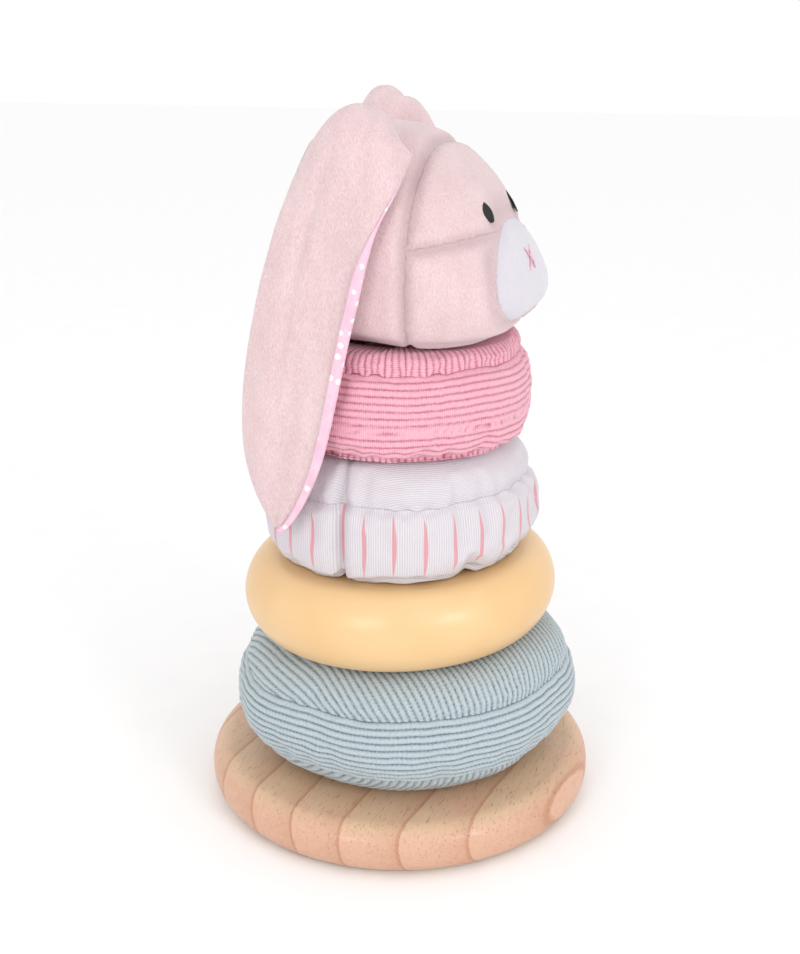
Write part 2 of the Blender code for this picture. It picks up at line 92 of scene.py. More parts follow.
Ring = namedtuple("Ring", "name radius height widest seam_up seam_down round_up round_down slip swell")
RINGS = {
    "blue": Ring("blue_ring", 0.0527, 0.0397, 0.0187, 0.0297, 0.0082, 2.25, 1.70, 0.0015, 0.30),
    "white": Ring("white_ring", 0.0396, 0.0353, 0.0158, 0.0238, 0.0020, 1.80, 3.60, 0.0, 1.0),
    "pink": Ring("pink_ring", 0.0385, 0.0305, 0.0102, 0.0257, 0.0012, 3.20, 4.00, 0.0, 0.7),
}
HOLE_RADIUS = POST_RADIUS + PLAY
HOLE_ROUNDNESS = 2.6
SLEEVE_TURN = math.radians(32.0)

BLUE_BOTTOM = BASE_HEIGHT + GAP
WOOD_BOTTOM = BLUE_BOTTOM + RINGS["blue"].height + GAP
WHITE_BOTTOM = WOOD_BOTTOM + WOOD_HEIGHT + GAP
PINK_BOTTOM = WHITE_BOTTOM + RINGS["white"].height + GAP
HEAD_BOTTOM = PINK_BOTTOM + RINGS["pink"].height + GAP
RING_BOTTOMS = {"blue_ring": BLUE_BOTTOM, "white_ring": WHITE_BOTTOM, "pink_ring": PINK_BOTTOM}
POST_TOP = HEAD_BOTTOM + POST_IN_HEAD
SOCKET_OUTSIDE = HOLE_RADIUS + SKIN
SOCKET_TOP = POST_TOP + SOCKET_END + SKIN

# Places round the white ring of its side seam and of the pucker beside it, and the slack cover's grid
WHITE_SEAM = math.radians(173.5)
WHITE_PUCKER = math.radians(231.0)
COVER_SIDES, COVER_ROWS = 80, 48
FILLING_FRAMES = 20
SLEEVE_RIBS = 36
KNIT_TURN = math.radians(319.0)  # across the ribs of the blue ring's flat panels
CLOTH_TURN = 0.45  # turn of the weave in the white ring's flat panels
FILLING_SHARE = 0.80  # how much of a ring's cover its loose filling fills
HEAD_FILLING_SHARE = 0.88

# Finishes
GRAIN_TURN = math.radians(6.0)
BAND_PITCH = 0.0158  # from growth line to growth line
PILE_LIE = 0.45  # fibres look longer down the cloth than across it by the inverse of this

# Stage: a softbox each side of the camera, with its azimuth in degrees and its power in watts
CAMERA_AZIMUTH = math.radians(-70.0)
CAMERA_ELEVATION = math.radians(18.72)
CAMERA_AIM = 0.1005
LIGHT_AIM = 0.090
SOFTBOXES = (("left_softbox", -97.0, 1.1), ("right_softbox", -33.0, 1.3))
SOFTBOX_ELEVATION = 24.0
SOFTBOX_SIZE = 0.22
SOFTBOX_REACH = 0.85

# Head
HEAD_HEIGHT = 0.0580
HEAD_FRONT = 0.0403
HEAD_SIDE = 0.0360
HEAD_BACK = 0.0330
MUZZLE_RISE = 0.0130
SIDE_RISE = 0.0215
CORONAL_SEAM = 0.0135
CHEEK_SEAM_RISE = 0.0273
CHEEK_SEAM_SLOPE = 0.18
UNDERSIDE_RISE = 0.0030
MUZZLE_SEAM_TOP = (0.0310, 0.0375)
MUZZLE_SEAM_SLOPE = 0.227
FACE_SHAPE = ((1.4, 2.0), (2.5, 4.0))
SKULL_SHAPE = ((2.2, 2.0), (4.0, 6.0))
MUZZLE_SQUARE = 3.6
SKULL_SQUARE = 2.1
EYE_SIDE = 0.0128
EYE_RISE = 0.0362
NOSE_RISE = 0.0222

# Ears, given for the left one, which is at +X
EAR_FOLD_RADIUS = 0.0100
EAR_FOLD_SIDE = HEAD_SIDE - 0.0085
EAR_FOLD_RISE = HEAD_HEIGHT - 0.0040
EAR_OFF_RING = 0.0020
EAR_FLARE = (max(0.0, RINGS["pink"].radius + EAR_OFF_RING - EAR_FOLD_SIDE - EAR_FOLD_RADIUS)
             / (EAR_FOLD_RISE + GAP + RINGS["pink"].height - RINGS["pink"].widest))
EAR_DROP = 0.1045
EAR_HALF_WIDTH = 0.0133
EAR_FOLD_HALF_WIDTH = 0.0150
EAR_WIDEST_DROP = 0.040
EAR_FRONT_OFFSET = 0.002
EAR_SWEEP = 0.0225
ROOT_ANGLE = math.radians(158.0)
EAR_ROOT_TUCK = 0.0070  # how much further the root reaches, into the head
EAR_ROOT_HALF_WIDTH = 0.0072
# How each ear's fold lies: further back, further up, and how much higher behind than in front
EAR_SHIFTS = {"left": (0.0140, 0.0002, 0.0022), "right": (0.0018, -0.0022, 0.0004)}


def sizes():
    return bpy.context.scene.toy_sizes


def colours():
    return bpy.context.scene.toy_colours


# ---------------------------------------------------------------- shapes

def powered(value, exponent):
    """Turns sines or cosines into a superellipse's."""
    return np.sign(value) * np.abs(value) ** (2.0 / exponent)


def smooth_step(value, low, high):
    """Rises smoothly from 0 at the low value to 1 at the high one."""
    t = np.clip((value - low) / (high - low), 0.0, 1.0)
    return t * t * (3.0 - 2.0 * t)


def bump(value, centre, width):
    """1 at the centre, fading to nothing over a few widths."""
    return np.exp(-((value - centre) / width) ** 2)


def turn_between(angle, centre):
    """Signed turn from a centre angle, between minus and plus half a turn."""
    return (angle - centre + math.pi) % math.tau - math.pi


def waves(angle, rows):
    """Sum of sines round the ring: (size, count, phase) each."""
    return sum(size * np.sin(count * angle + phase) for size, count, phase in rows)


def face_out(bm):
    """Turns the faces of a closed mesh outwards."""
    bmesh.ops.recalc_face_normals(bm, faces=bm.faces)
    if bm.calc_volume(signed=True) < 0.0:
        bmesh.ops.reverse_faces(bm, faces=bm.faces)


def coordinates(mesh):
    """A mesh's vertices as rows of x, y, z."""
    co = np.empty(len(mesh.vertices) * 3)
    mesh.vertices.foreach_get("co", co)
    return co.reshape(-1, 3)


def set_coordinates(mesh, co):
    mesh.vertices.foreach_set("co", np.ascontiguousarray(co, dtype=np.float32).ravel())
    mesh.update()


def new_piece(name, mesh, material):
    """An object of its own for a finished mesh, smooth shaded."""
    mesh.name = name
    mesh.shade_smooth()
    mesh.materials.append(material)
    piece = bpy.data.objects.new(name, mesh)
    bpy.context.scene.collection.objects.link(piece)
    return piece


def mesh_of(bm):
    """Turns a bmesh into a mesh and frees it."""
    mesh = bpy.data.meshes.new("mesh")
    bm.to_mesh(mesh)
    bm.free()
    return mesh


def add_attribute(mesh, name, values):
    layer = mesh.attributes.new(name, "FLOAT", "POINT")
    layer.data.foreach_set("value", np.ascontiguousarray(values, dtype=np.float32))


def closed_grid(sides, rows):
    """A flat grid to close both ways, with each vertex's place round the ring and along the section."""
    bm = bmesh.new()
    bmesh.ops.create_grid(bm, x_segments=sides, y_segments=rows, size=1.0)
    mesh = mesh_of(bm)
    co = coordinates(mesh)
    side = np.rint(0.5 * (co[:, 0] + 1.0) * sides).astype(int)
    row = np.rint(0.5 * (co[:, 1] + 1.0) * rows).astype(int)
    return mesh, side, row


def closed_mesh(table, uv=None, groove=None):
    """A closed ring of a table of points (sides, rows), with its UV map and groove depth."""
    sides, rows = table.shape[:2]
    mesh, side, row = closed_grid(sides, rows)
    row = row % rows
    set_coordinates(mesh, table[side % sides, row])
    if uv is not None:
        corner = np.empty(len(mesh.loops), dtype=np.int32)
        mesh.loops.foreach_get("vertex_index", corner)
        layer = mesh.uv_layers.new(name="surface")
        layer.data.foreach_set("uv", uv[side[corner], row[corner]].astype(np.float32).ravel())
    if groove is not None:
        add_attribute(mesh, "groove", groove[side % sides, row])
    add_attribute(mesh, "place", (side % sides) * rows + row)
    bm = bmesh.new()
    bm.from_mesh(mesh)
    bmesh.ops.remove_doubles(bm, verts=bm.verts, dist=1e-8)
    face_out(bm)
    bm.to_mesh(mesh)
    bm.free()
    return mesh


def places(mesh):
    """Each vertex's place in the table that the mesh was made from."""
    values = np.empty(len(mesh.vertices))
    mesh.attributes["place"].data.foreach_get("value", values)
    return np.rint(values).astype(int)


def turned(profile, sides):
    """A body of revolution about Z, smooth all round."""
    bm = bmesh.new()
    points = [bm.verts.new((radius, 0.0, z)) for radius, z in profile]
    edges = [bm.edges.new(pair) for pair in zip(points, points[1:])]
    if profile[0][0] > 0.0:
        edges.append(bm.edges.new((points[-1], points[0])))
    bmesh.ops.spin(bm, geom=points + edges, axis=(0, 0, 1), cent=(0, 0, 0),
                   angle=math.tau, steps=sides, use_merge=True)
    bmesh.ops.remove_doubles(bm, verts=bm.verts, dist=1e-6)
    face_out(bm)
    return bm


def rounding(centre_r, centre_z, reach, rise, start, end, steps, exponent=2.0):
    """Points along a superellipse, from one angle to another, both given in degrees."""
    angles = np.radians(np.linspace(start, end, steps + 1))
    across = centre_r + reach * powered(np.cos(angles), exponent)
    up = centre_z + rise * powered(np.sin(angles), exponent)
    return list(zip(across.tolist(), up.tolist()))


def leaned(points):
    """Raises the stack's high side by the slope that it has at that height."""
    z = points[..., 2]
    middle = BLUE_BOTTOM + 0.5 * RINGS["blue"].height
    grow = smooth_step(z, middle - 0.4 * RINGS["blue"].height, WOOD_BOTTOM - 2.0 * GAP)
    fade = smooth_step(z, WHITE_BOTTOM + GAP, PINK_BOTTOM - 2.0 * GAP)
    along = points[..., 0] * HIGH_SIDE[0] + points[..., 1] * HIGH_SIDE[1]
    made = points.copy()
    made[..., 2] += LEAN * grow * (1.0 - fade) * along
    return made


# ---------------------------------------------------------------- node trees

class Graph:
    """Short calls that build a node tree."""

    def __init__(self, tree):
        self.tree = tree

    def node(self, kind, **settings):
        made = self.tree.nodes.new(kind)
        for key, value in settings.items():
            setattr(made, key, value)
        return made

    def wire(self, value, socket):
        if isinstance(value, bpy.types.NodeSocket):
            self.tree.links.new(value, socket)
        else:
            socket.default_value = value

    def math(self, operation, *values):
        made = self.node("ShaderNodeMath", operation=operation)
        for value, socket in zip(values, made.inputs):
            self.wire(value, socket)
        return made.outputs[0]

    def smooth(self, value, low, high):
        made = self.node("ShaderNodeMapRange", interpolation_type="SMOOTHSTEP")
        for socket, given in zip(made.inputs, (value, low, high, 0.0, 1.0)):
            self.wire(given, socket)
        return made.outputs[0]

    def blend(self, share, first, second):
        made = self.node("ShaderNodeMix", data_type="RGBA")
        self.wire(share, made.inputs[0])
        for socket, given in ((made.inputs[6], first), (made.inputs[7], second)):
            self.wire(given if isinstance(given, bpy.types.NodeSocket) else (*given, 1.0), socket)
        return made.outputs[2]

    def place(self, scale=(1.0, 1.0, 1.0), turn=(0.0, 0.0, 0.0)):
        where = self.node("ShaderNodeTexCoord").outputs["Object"]
        mapping = self.node("ShaderNodeMapping")
        self.wire(where, mapping.inputs["Vector"])
        mapping.inputs["Scale"].default_value = scale
        mapping.inputs["Rotation"].default_value = turn
        return mapping.outputs[0]

    def noise(self, where, scale, detail=2.0, roughness=0.5):
        made = self.node("ShaderNodeTexNoise")
        self.wire(where, made.inputs["Vector"])
        made.inputs["Scale"].default_value = scale
        made.inputs["Detail"].default_value = detail
        made.inputs["Roughness"].default_value = roughness
        return made.outputs[0]

    def uv(self):
        made = self.node("ShaderNodeUVMap", uv_map="surface")
        parts = self.node("ShaderNodeSeparateXYZ")
        self.wire(made.outputs[0], parts.inputs[0])
        return parts.outputs[0], parts.outputs[1]

    def attribute(self, name):
        return self.node("ShaderNodeAttribute", attribute_name=name).outputs["Fac"]

    def group(self, tree, **values):
        made = self.node("ShaderNodeGroup", node_tree=tree)
        for key, value in values.items():
            self.wire(value, made.inputs[key])
        return made


def new_material(name, roughness, sheen=0.0, sheen_roughness=0.5, coat=0.0, metallic=0.0):
    """A material with a plain shader. Returns it with its graph and shader node."""
    made = bpy.data.materials.new(name)
    made.use_nodes = True
    shader = made.node_tree.nodes["Principled BSDF"]
    shader.inputs["Roughness"].default_value = roughness
    shader.inputs["Sheen Weight"].default_value = sheen
    shader.inputs["Sheen Roughness"].default_value = sheen_roughness
    shader.inputs["Coat Weight"].default_value = coat
    shader.inputs["Metallic"].default_value = metallic
    return made, Graph(made.node_tree), shader


def raise_surface(graph, shader, height, distance):
    """Bumps the shader's surface by a height, at most by the distance."""
    node = graph.node("ShaderNodeBump")
    node.inputs["Distance"].default_value = distance
    node.inputs["Strength"].default_value = 1.0
    graph.wire(height, node.inputs["Height"])
    graph.wire(node.outputs[0], shader.inputs["Normal"])


def new_group(name, inputs, outputs):
    """A node group with float inputs, given with their defaults, and float outputs."""
    tree = bpy.data.node_groups.new(name, "ShaderNodeTree")
    for key, value in inputs:
        kind = "NodeSocketVector" if value is None else "NodeSocketFloat"
        socket = tree.interface.new_socket(key, in_out="INPUT", socket_type=kind)
        if value is not None:
            socket.default_value = value
    for key in outputs:
        tree.interface.new_socket(key, in_out="OUTPUT", socket_type="NodeSocketFloat")
    graph = Graph(tree)
    return tree, graph, graph.node("NodeGroupInput").outputs, graph.node("NodeGroupOutput").inputs


def shared_group(name, build):
    """The node group of that name, built the first time."""
    return bpy.data.node_groups.get(name) or build(name)


def build_pile_group(name):
    """Short pile: fine fibres lying down the piece, in patches brushed lighter and darker."""
    tree, graph, given, result = new_group(
        name, (("Place", None), ("Fibre", 1.0), ("Patch", 1.0)), ("Height", "Shade"))
    fine = graph.noise(given["Place"], 2300.0, 4.0, 0.7)
    patch = graph.noise(given["Place"], 160.0, 3.0, 0.6)
    fibre = graph.math("MULTIPLY", graph.math("SUBTRACT", fine, 0.5), given["Fibre"])
    brushed = graph.math("MULTIPLY", graph.math("SUBTRACT", patch, 0.5), given["Patch"])
    graph.wire(graph.math("ADD", fine, graph.math("MULTIPLY", patch, 0.5)), result["Height"])
    shade = graph.math("ADD", 0.5, graph.math("ADD", fibre, brushed))
    graph.wire(shade, result["Shade"])
    return tree


def build_knit_group(name):
    """Slanted stitches in two columns along each rib: U runs along the rib, V counts ribs."""
    tree, graph, given, result = new_group(
        name, (("U", 0.0), ("V", 0.0), ("Stitch", 0.0012), ("Slant", 1.4)), ("Height", "Shade"))
    across = graph.math("ABSOLUTE", graph.math("SUBTRACT", graph.math("FRACT", given["V"]), 0.5))
    slanted = graph.math("MULTIPLY", across, given["Slant"])
    phase = graph.math("ADD", graph.math("DIVIDE", given["U"], given["Stitch"]), slanted)
    wave = graph.math("SINE", graph.math("MULTIPLY", phase, math.tau))
    height = graph.math("ADD", graph.math("MULTIPLY", wave, 0.5), 0.5)
    graph.wire(height, result["Height"])
    graph.wire(graph.math("POWER", height, 0.6), result["Shade"])
    return tree


def build_weave_group(name):
    """Fine rib weave: close lines across U, crossed by finer picks."""
    tree, graph, given, result = new_group(
        name, (("U", 0.0), ("V", 0.0), ("Line", 0.00065), ("Pick", 0.0004)), ("Height", "Shade"))
    lines = graph.math("SINE", graph.math("MULTIPLY", graph.math("DIVIDE", given["U"], given["Line"]),
                                          math.tau))
    picks = graph.math("SINE", graph.math("MULTIPLY", graph.math("DIVIDE", given["V"], given["Pick"]),
                                          math.tau))
    height = graph.math("ADD", graph.math("MULTIPLY", lines, 0.4), graph.math("MULTIPLY", picks, 0.12))
    graph.wire(graph.math("ADD", height, 0.5), result["Height"])
    graph.wire(graph.math("ADD", graph.math("MULTIPLY", lines, 0.5), 0.5), result["Shade"])
    return tree


def pine_finish():
    """Clear-lacquered pale wood: curved growth bands, fine pores, random pinker fibre patches, and side
    faces painted pinker than the top as painted light.
    """
    made = bpy.data.materials.get("lacquered pine")
    if made:
        return made
    made, graph, shader = new_material("lacquered pine", 0.42, coat=0.12)
    grain_turn = (0.0, 0.0, GRAIN_TURN)
    where = graph.place(turn=grain_turn)
    warp = graph.noise(graph.place(scale=(0.6, 1.0, 1.0), turn=grain_turn), 14.0, 2.0)
    parts = graph.node("ShaderNodeSeparateXYZ")
    graph.wire(where, parts.inputs[0])
    square = graph.math("MULTIPLY", parts.outputs[0], parts.outputs[0])
    across = graph.math("ADD", parts.outputs[1], graph.math("MULTIPLY", square, 0.15))
    across = graph.math("ADD", across, graph.math("MULTIPLY", parts.outputs[2], -0.12))
    across = graph.math("ADD", across, graph.math("MULTIPLY", warp, 0.012))
    year = graph.math("FRACT", graph.math("DIVIDE", graph.math("SUBTRACT", 0.2, across), BAND_PITCH))
    late = graph.math("MULTIPLY", graph.math("POWER", year, 2.5),
                      graph.math("SUBTRACT", 1.0, graph.smooth(year, 0.975, 1.0)))
    line = graph.math("MULTIPLY", graph.smooth(year, 0.90, 0.965),
                      graph.math("SUBTRACT", 1.0, graph.smooth(year, 0.965, 1.0)))
    fibre = graph.noise(where, 45.0)
    streak = graph.place(scale=(1.0, 9.0, 5.0), turn=grain_turn)
    streaks = graph.noise(streak, 110.0, 3.0, 0.6)
    pores = graph.smooth(graph.noise(streak, 330.0, 1.0), 0.64, 0.74)
    pale, dark = colours().pine, colours().pine_band
    pink = colours().pine_side_light_and_fibre
    # Painted light: upright faces take the pinker colour, lit differently from the level top; random
    # fibre patches take it too.
    level = graph.smooth(graph.math("ABSOLUTE", graph.attribute("facing")), 0.5, 0.95)
    side = graph.math("SUBTRACT", 1.0, level)
    tone = graph.blend(graph.math("MAXIMUM", side, graph.smooth(fibre, 0.5, 0.8)), pale, pink)
    tone = graph.blend(graph.math("MULTIPLY", streaks, 0.36), tone, dark)
    tone = graph.blend(graph.math("MULTIPLY", late, 0.34), tone, dark)
    tone = graph.blend(graph.math("MULTIPLY", line, 0.50), tone, dark)
    tone = graph.blend(graph.math("MULTIPLY", pores, 0.45), tone, dark)
    graph.wire(tone, shader.inputs["Base Color"])
    rough = graph.math("ADD", 0.36, graph.math("MULTIPLY", streaks, 0.14))
    graph.wire(rough, shader.inputs["Roughness"])
    height = graph.math("SUBTRACT", graph.math("MULTIPLY", streaks, 0.4), pores)
    raise_surface(graph, shader, height, 0.00012)
    return made


def paint_finish():
    """Satin paint on wood, with the faint unevenness of a dipped coat."""
    made, graph, shader = new_material("satin yellow paint", 0.34, coat=0.15)
    shader.inputs["Coat Roughness"].default_value = 0.25
    where = graph.place()
    wide = graph.noise(where, 30.0, 2.0)
    fine = graph.noise(where, 700.0, 2.0)
    tone = graph.blend(graph.smooth(wide, 0.3, 0.7), colours().yellow, colours().yellow_deep)
    graph.wire(tone, shader.inputs["Base Color"])
    graph.wire(graph.math("ADD", 0.30, graph.math("MULTIPLY", fine, 0.1)), shader.inputs["Roughness"])
    raise_surface(graph, shader, graph.math("ADD", fine, graph.math("MULTIPLY", wide, 6.0)), 0.00005)
    return made


def knit_finish(name, light, dark, stitch, slant, depth, contrast):
    """Ribbed knit: stitches along each rib, with painted shade darkening the colour between the ribs."""
    made, graph, shader = new_material(name, 0.9, sheen=0.25)
    u, v = graph.uv()
    knit = graph.group(shared_group("knit stitches", build_knit_group), U=u, V=v)
    knit.inputs["Stitch"].default_value = stitch
    knit.inputs["Slant"].default_value = slant
    fuzz = graph.noise(graph.place(), 1500.0, 2.0)
    groove = graph.attribute("groove")
    shade = graph.math("MULTIPLY", graph.math("SUBTRACT", knit.outputs["Shade"], 0.6), contrast)
    shade = graph.math("ADD", shade, graph.math("MULTIPLY", graph.math("SUBTRACT", fuzz, 0.5), 0.8))
    # Painted shade: the colour darkens with the depth of the groove between the ribs.
    shade = graph.math("SUBTRACT", graph.math("ADD", shade, 0.95), groove)
    tone = graph.blend(graph.smooth(shade, -0.10, 1.05), dark, light)
    graph.wire(tone, shader.inputs["Base Color"])
    height = graph.math("ADD", knit.outputs["Height"], graph.math("MULTIPLY", fuzz, 0.5))
    raise_surface(graph, shader, height, depth)
    return made


def woven_finish(name, printed):
    """Fine white rib weave, printed with tapered strokes where the cloth is the ring's side."""
    made, graph, shader = new_material(name, 0.85, sheen=0.15)
    u, v = graph.uv()
    weave = graph.group(shared_group("fine weave", build_weave_group), U=u, V=v)
    tone = graph.blend(graph.smooth(weave.outputs["Shade"], -0.2, 0.9), colours().white_shade,
                       colours().white)
    if printed:
        stroke = stroke_mask(graph, u, v)
        worn = graph.math("MULTIPLY", stroke, graph.math("ADD", 0.72, graph.math(
            "MULTIPLY", weave.outputs["Shade"], 0.28)))
        tone = graph.blend(worn, tone, colours().print_pink)
    graph.wire(tone, shader.inputs["Base Color"])
    fuzz = graph.noise(graph.place(), 1800.0, 2.0)
    height = graph.math("ADD", weave.outputs["Height"], graph.math("MULTIPLY", fuzz, 0.35))
    raise_surface(graph, shader, height, 0.00010)
    return made


def stroke_mask(graph, u, v):
    """Tapered upright strokes, evenly round the ring, each a little different."""
    pitch = math.tau * RINGS["white"].radius / sizes().stroke_count
    count = graph.math("DIVIDE", u, pitch)
    whole = graph.math("FLOOR", count)
    chance = graph.node("ShaderNodeTexWhiteNoise", noise_dimensions="1D")
    graph.wire(whole, chance.inputs["W"])
    drift = graph.math("MULTIPLY", graph.math("SUBTRACT", chance.outputs[0], 0.5), 0.0012)
    along = graph.math("SUBTRACT", graph.math("ADD", v, drift), sizes().stroke_height)
    share = graph.math("DIVIDE", along, 0.5 * sizes().stroke_length)
    bend = graph.math("MULTIPLY", graph.math("MULTIPLY", share, share), 0.05)
    across = graph.math("SUBTRACT", graph.math("FRACT", count), 0.5)
    across = graph.math("ABSOLUTE", graph.math("MULTIPLY", graph.math("ADD", across, bend), pitch))
    taper = graph.math("SUBTRACT", 1.0, graph.math("MULTIPLY", share, share))
    width = graph.math("MULTIPLY", graph.math("MAXIMUM", taper, 0.0), 0.5 * sizes().stroke_width)
    return graph.smooth(graph.math("SUBTRACT", width, across), -0.00005, 0.00012)


def plush_finish(name, light, dark, fibre=1.25, depth=0.00040):
    """Short-pile plush, darkened along the head's sunk seams as painted shade."""
    made, graph, shader = new_material(name, 0.95, sheen=0.5, sheen_roughness=0.45)
    where = graph.place(scale=(1.0, 1.0, PILE_LIE))
    pile = graph.group(shared_group("short pile", build_pile_group), Place=where)
    pile.inputs["Fibre"].default_value = fibre
    pile.inputs["Patch"].default_value = 0.45
    tone = graph.blend(graph.smooth(pile.outputs["Shade"], 0.1, 0.9), dark, light)
    # Painted shade: the plush darkens along the sunk seams, towards 0.72 of its deep colour.
    seam = graph.math("MULTIPLY", graph.attribute("groove"), 0.55)
    tone = graph.blend(seam, tone, tuple(0.72 * part for part in dark))
    graph.wire(tone, shader.inputs["Base Color"])
    raise_surface(graph, shader, pile.outputs["Height"], depth)
    return made


def lining_finish():
    """Pink velour lining with a scatter of white dots."""
    made, graph, shader = new_material("dotted ear lining", 0.95, sheen=0.4)
    where = graph.place()
    pile = graph.group(shared_group("short pile", build_pile_group), Place=where)
    dots = graph.node("ShaderNodeTexVoronoi", feature="F1")
    dots.inputs["Scale"].default_value = 300.0
    dots.inputs["Randomness"].default_value = 0.55
    graph.wire(where, dots.inputs["Vector"])
    spot = graph.math("SUBTRACT", 1.0, graph.smooth(dots.outputs["Distance"], 0.20, 0.30))
    tone = graph.blend(graph.smooth(pile.outputs["Shade"], 0.1, 0.9), colours().lining_deep,
                       colours().lining)
    tone = graph.blend(spot, tone, colours().lining_dot)
    graph.wire(tone, shader.inputs["Base Color"])
    raise_surface(graph, shader, pile.outputs["Height"], 0.0002)
    return made


def thread_finish(name, colour, deep, roughness):
    """Embroidery thread: fine parallel strands."""
    made, graph, shader = new_material(name, roughness)
    strands = graph.noise(graph.place(scale=(1.0, 0.2, 3.0)), 1700.0, 2.0)
    graph.wire(graph.blend(graph.smooth(strands, 0.3, 0.7), deep, colour), shader.inputs["Base Color"])
    raise_surface(graph, shader, strands, 0.00012)
    return made


def cotton_finish(name, colour, deep):
    """Plain cotton, or the loose filling."""
    made, graph, shader = new_material(name, 0.95, sheen=0.1)
    tuft = graph.noise(graph.place(), 500.0, 4.0, 0.65)
    graph.wire(graph.blend(graph.smooth(tuft, 0.3, 0.7), deep, colour), shader.inputs["Base Color"])
    raise_surface(graph, shader, tuft, 0.0003)
    return made


def steel_finish():
    """Zinc-plated steel, faintly brushed."""
    made, graph, shader = new_material("zinc screw steel", 0.35, metallic=1.0)
    brushed = graph.noise(graph.place(scale=(1.0, 1.0, 8.0)), 900.0, 2.0)
    graph.wire(graph.blend(brushed, (0.50, 0.50, 0.52), (0.72, 0.72, 0.74)), shader.inputs["Base Color"])
    graph.wire(graph.math("ADD", 0.25, graph.math("MULTIPLY", brushed, 0.2)), shader.inputs["Roughness"])
    return made


# ---------------------------------------------------------------- stuffed rings

def section(ring, angle, inset=0.0):
    """Radius and height of a ring's section: angle 0 is its outermost point, 90 degrees its top."""
    across, up = np.cos(angle), np.sin(angle)
    half = 0.5 * (ring.radius - HOLE_RADIUS) - inset
    rise = np.where(up > 0.0, ring.height - ring.widest, ring.widest) - inset
    outer = np.where(up > 0.0, ring.round_up, ring.round_down)
    exponent = np.where(across > 0.0, outer, HOLE_ROUNDNESS)
    radius = 0.5 * (ring.radius + HOLE_RADIUS) + half * powered(across, exponent)
    return radius, RING_BOTTOMS[ring.name] + ring.widest + rise * powered(up, exponent)


def seam_angle(ring, height, exponent):
    """Angle of a ring's section at a height on its outer side."""
    above = height - ring.widest
    rise = ring.height - ring.widest if above > 0.0 else ring.widest
    return math.asin(math.copysign((abs(above) / rise) ** (0.5 * exponent), above))


def seam_angles(ring):
    """Where a ring's panels meet: low and high on its side, above and below in its hole."""
    low = seam_angle(ring, ring.seam_down, ring.round_down)
    high = seam_angle(ring, ring.seam_up, ring.round_up)
    return low, high, math.pi - SLEEVE_TURN, math.pi + SLEEVE_TURN


def in_cylinder(around, radial, tangent, z):
    """Points from cylinder parts, and shifts along them."""
    x = radial * np.cos(around) - tangent * np.sin(around)
    y = radial * np.sin(around) + tangent * np.cos(around)
    return np.stack([x, y, z], axis=-1)


def catmull_rom(table, place):
    """Reads a table, closed on itself, at fractional places along its first axis."""
    count = table.shape[0]
    low = np.floor(place).astype(int)
    t = (place - low).reshape(-1, *([1] * (table.ndim - 1)))
    a, b, c, d = (table[(low + step) % count] for step in (-1, 0, 1, 2))
    return 0.5 * (2.0 * b + (c - a) * t + (2.0 * a - 5.0 * b + 4.0 * c - d) * t * t
                  + (3.0 * b - 3.0 * c + d - a) * t * t * t)


def read_table(table, around, angle):
    """Reads a closed table of values at each (around, angle) of a grid whose angles differ by side."""
    sides, rows = table.shape[:2]
    turned_table = catmull_rom(table, around / math.tau * sides)
    made = np.empty((*angle.shape, table.shape[2]))
    for side in range(angle.shape[0]):
        place = (angle[side] % math.tau) / math.tau * rows
        made[side] = catmull_rom(turned_table[side], place)
    return made


def simulate_cover(ring, shape):
    """Fills a slack cover by pressure, held at its seams. Returns the shifts in cylinder parts."""
    sides, rows = COVER_SIDES, COVER_ROWS
    around = np.arange(sides) / sides * math.tau
    angle = np.arange(rows) / rows * math.tau
    grid = np.broadcast_to(angle, (sides, rows))
    start = shape(around, grid, None)
    mesh = closed_mesh(start)
    place = places(mesh)
    cover = bpy.data.objects.new("slack_cover", mesh)
    bpy.context.scene.collection.objects.link(cover)
    held = cover.vertex_groups.new(name="seams")
    hold = np.zeros(rows)
    for seam in seam_angles(ring):
        hold = np.maximum(hold, bump(turn_between(angle, seam), 0.0, 0.10))
    hold = np.maximum(hold, np.where(np.cos(angle) < -0.75, 1.0, 0.0))
    for index, row in enumerate(place % rows):
        held.add([index], float(hold[row]), "REPLACE")
    cloth = cover.modifiers.new("filling", "CLOTH")
    settings = cloth.settings
    settings.quality = 5
    settings.mass = 0.2
    settings.tension_stiffness = 12.0
    settings.compression_stiffness = 12.0
    settings.shear_stiffness = 4.0
    settings.bending_stiffness = 0.3
    settings.use_pressure = True
    settings.uniform_pressure_force = sizes().filling_pressure
    settings.shrink_min = -sizes().slack
    settings.vertex_group_mass = held.name
    settings.effector_weights.gravity = 0.0
    cloth.collision_settings.use_collision = False
    scene = bpy.context.scene
    for step in range(1, FILLING_FRAMES + 1):
        scene.frame_set(step)
    filled = cover.evaluated_get(bpy.context.evaluated_depsgraph_get()).data
    end = coordinates(filled)
    scene.frame_set(1)
    table = np.empty((sides * rows, 3))
    table[place] = end
    table = table.reshape(sides, rows, 3)
    bpy.data.objects.remove(cover, do_unlink=True)
    shift = table - start
    size = np.linalg.norm(shift, axis=-1, keepdims=True)
    shift *= ring.swell * np.minimum(1.0, sizes().swell_limit / np.maximum(size, 1e-9))
    turn = around[:, None]
    radial = shift[..., 0] * np.cos(turn) + shift[..., 1] * np.sin(turn)
    tangent = shift[..., 1] * np.cos(turn) - shift[..., 0] * np.sin(turn)
    return np.stack([radial, tangent, shift[..., 2]], axis=-1)


def cover_shape(ring, dents):
    """A function that gives a ring's cover: plain section, its own dents, and the filling's swell."""
    bottom = RING_BOTTOMS[ring.name]

    def shape(around, angle, swell):
        turn = around[:, None]
        radius, z = section(ring, angle)
        out, up = dents(turn, angle)
        radius, z = radius + out, z + up
        tangent = np.zeros_like(radius)
        if swell is not None:
            shift = read_table(swell, around, angle)
            radius, tangent, z = radius + shift[..., 0], shift[..., 1], z + shift[..., 2]
        return in_cylinder(turn, radius, tangent, np.clip(z, bottom, bottom + ring.height))
    return shape


